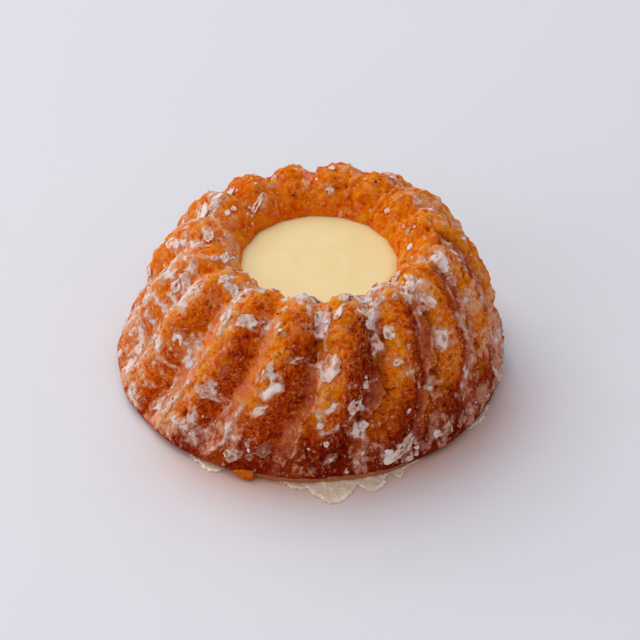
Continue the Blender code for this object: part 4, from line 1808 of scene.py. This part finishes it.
@dataclass(frozen=True)
class CreamFilling:
    """The cream in the well, in place of its plain solid and just into the crumb round it."""

    form: RingForm
    finish: CreamFinish = CreamFinish()
    level: float = 0.0257
    bulge: float = 0.0004
    overlap: float = 0.0006
    edge_drop: float = 0.00035
    edge_start: float = 0.86
    floor_height: float = 0.0133
    under_edge: Table = ((1.0, 0.66), (0.97, 0.33), (0.94, 0.0), (0.0, 0.0))
    draft: float = 0.12
    columns: int = 256
    rings: int = 44
    swirl_depth: float = 0.000035
    swirl_turn: float = 620.0
    wave_size: float = 0.0070
    wave_depth: float = 0.00005

    def edge_place(self, angle: float) -> float:
        """Finds the well's wall at the cream's level, by halving.

        Args:
            angle: The flute angle.

        Returns:
            The place along the profile.
        """
        low, high = float(Landmark.CREST), float(Landmark.THROAT)
        for _ in range(20):
            middle = (low + high) / 2
            if self.form.point(angle, middle).z > self.level:
                low = middle
            else:
                high = middle
        return low

    def outline(self) -> list[Vector]:
        """Follows the cream's edge, just into the crumb.

        Returns:
            One point for each column.
        """
        line = []
        for column in range(self.columns):
            angle = self.form.ridge_angle + 360 * column / self.columns
            point, _, _, inwards = self.form.frame_at(angle, self.edge_place(angle))
            level = Vector((inwards.x, inwards.y, 0)).normalized()
            line.append(point - level * self.overlap)
        return line

    def surface_height(self, spot: Vector, share: float) -> float:
        """Finds how high the cream stands.

        Args:
            spot: The point, from the cream's middle.
            share: How far out it is, as a share of the way to the edge.

        Returns:
            The height.
        """
        dome = self.bulge * (1 - share * share)
        drop = self.edge_drop * step_between(share, self.edge_start, 1.0) ** 1.5
        turn = math.atan2(spot.y, spot.x) + spot.length * self.swirl_turn
        spiral = math.sin(turn * 2) * window(share, (0.06, 0.25, 0.3, 0.62))
        wobble = noise.noise(spot / self.wave_size) * self.wave_depth
        return self.level + dome - drop + spiral * self.swirl_depth + wobble

    def build(self) -> bpy.types.Object:
        """Models the cream and dresses it.

        Returns:
            The piece.
        """
        line = self.outline()
        middle = sum(line, Vector()) / len(line)
        bm = bmesh.new()
        share_of = bm.verts.layers.float.new("share")
        top_face = [(ring / self.rings, 1.0) for ring in range(self.rings + 1)]
        verts = []
        for share, high in (*top_face, *self.under_edge):
            vert = bm.verts.new((0, -share, high))
            vert[share_of] = share
            verts.append(vert)
        edges = [bm.edges.new(pair) for pair in zip(verts, verts[1:])]
        geom, steps = verts + edges, self.columns
        bmesh.ops.spin(bm, geom=geom, axis=(0, 0, 1), angle=2 * math.pi, steps=steps, use_merge=True)
        bmesh.ops.remove_doubles(bm, verts=bm.verts, dist=1e-5)
        for vert in bm.verts:
            share, high = vert[share_of], vert.co.z
            column = round(math.degrees(math.atan2(vert.co.x, -vert.co.y)) / 360 * self.columns)
            edge = line[column % self.columns]
            spot = Vector(((edge.x - middle.x) * share, (edge.y - middle.y) * share, 0))
            top = self.surface_height(spot, share)
            height = self.floor_height + (top - self.floor_height) * high
            inset = 1 - self.draft * (1 - high)
            vert.co = Vector((middle.x + spot.x * inset, middle.y + spot.y * inset, height))
        bm.verts.layers.float.remove(bm.verts.layers.float["share"])
        return finish_piece("lemon_cream", bm, self.finish.material(), Slot.CREAM, "cream_filling")


@dataclass(frozen=True)
class BurntSpecks:
    """Tiny dark specks baked into the crumb."""

    form: RingForm
    skin: CrustSkin
    finish: SpeckFinish = SpeckFinish()
    count: int = 46
    radius: tuple[float, float] = (0.00015, 0.00034)
    places: tuple[float, float] = (1.1, 2.5)
    stretch: tuple[float, float] = (0.7, 1.4)
    height_share: float = 0.7
    seed: int = 11

    def build(self) -> bpy.types.Object:
        """Models the specks on the crust and dresses them.

        Returns:
            The piece.
        """
        draw = random.Random(self.seed)
        bm = bmesh.new()
        for _ in range(self.count):
            angle = draw.uniform(-180, 180)
            place = draw.uniform(*self.places)
            radius = draw.uniform(*self.radius)
            at = self.form.point(angle, place, self.skin.sample(angle, place).lift)
            speck = bmesh.ops.create_icosphere(bm, subdivisions=1, radius=radius)["verts"]
            across, along = draw.uniform(*self.stretch), draw.uniform(*self.stretch)
            shape = Matrix.Diagonal((across, along, self.height_share, 1))
            bmesh.ops.transform(bm, matrix=Matrix.Translation(at) @ shape, verts=speck)
        return finish_piece("burnt_specks", bm, self.finish.material(), Slot.CRUST)


# ---------------------------------------------------------------- the studio


@dataclass(frozen=True)
class Studio:
    """A pale table, soft light from the upper left, and the camera at the photograph's angle."""

    table_radius: float = 2.5
    camera_at: Vector = field(default_factory=lambda: Vector((0.00207, -0.62100, 0.50440)))
    camera_tilt: float = 51.5
    lens: float = 214.1
    sky: Colour = (239, 241, 252)
    sky_strength: float = 0.60
    key_at: Vector = field(default_factory=lambda: Vector((-0.70, 0.84, 1.12)))
    key_size: float = 1.35
    key_power: float = 12.0
    fill_at: Vector = field(default_factory=lambda: Vector((-0.78, -0.45, 0.42)))
    fill_size: float = 0.85
    fill_power: float = 1.7
    table: TableFinish = TableFinish()

    def camera(self) -> None:
        """Places the camera."""
        data = bpy.data.cameras.new("camera")
        data.lens = self.lens
        data.sensor_width = 36.0
        data.clip_start = 0.01
        obj = bpy.data.objects.new("camera", data)
        obj.location = self.camera_at
        obj.rotation_euler = (math.radians(self.camera_tilt), 0, 0)
        bpy.context.scene.collection.objects.link(obj)
        bpy.context.scene.camera = obj

    def lamp(self, name: str, at: Vector, size: float, power: float) -> None:
        """Hangs a large round lamp that points at the cake.

        Args:
            name: The lamp's name.
            at: Where it hangs.
            size: How wide it is in metres.
            power: Its power in watts.
        """
        data = bpy.data.lights.new(name, "AREA")
        data.shape = "DISK"
        data.size = size
        data.energy = power
        obj = bpy.data.objects.new(name, data)
        obj.location = at
        obj.rotation_euler = (-at).to_track_quat("-Z", "Y").to_euler()
        bpy.context.scene.collection.objects.link(obj)

    def light(self) -> None:
        """Lights the scene by a soft sky, a large lamp and a weaker one on the other side."""
        world = bpy.data.worlds.new("soft_sky")
        world.use_nodes = True
        background = world.node_tree.nodes["Background"]
        background.inputs["Color"].default_value = linear(self.sky)
        background.inputs["Strength"].default_value = self.sky_strength
        bpy.context.scene.world = world
        self.lamp("window", self.key_at, self.key_size, self.key_power)
        self.lamp("reflector", self.fill_at, self.fill_size, self.fill_power)

    def floor(self) -> None:
        """Lays the table."""
        bm = bmesh.new()
        bmesh.ops.create_circle(bm, cap_ends=True, segments=96, radius=self.table_radius)
        finish_object("table", bm, self.table.material())

    def build(self) -> None:
        """Sets up the camera, the light and the table."""
        bpy.context.scene.view_settings.view_transform = "Standard"
        self.camera()
        self.light()
        self.floor()


def main() -> None:
    """Builds the cake's pieces in order, and logs how many triangles each has."""
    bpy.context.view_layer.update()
    Studio().build()
    form = RingForm()
    flakes = FlakePlan(form).flakes()
    skin = CrustSkin(form, flakes)
    pieces = (
        GlazedRing(form, skin),
        BatterLump(form),
        CreamFilling(form),
        SugarFlakes(form, flakes),
        SugarChips(form, skin),
        GlazeRunOffs(form),
        GlazeSkirt(form),
        BurntSpecks(form, skin),
    )
    for piece in pieces:
        obj = piece.build()
        obj.data.calc_loop_triangles()
        log.info("%s: %d triangles", obj.name, len(obj.data.loop_triangles))


if __name__ == "__main__":
    main()
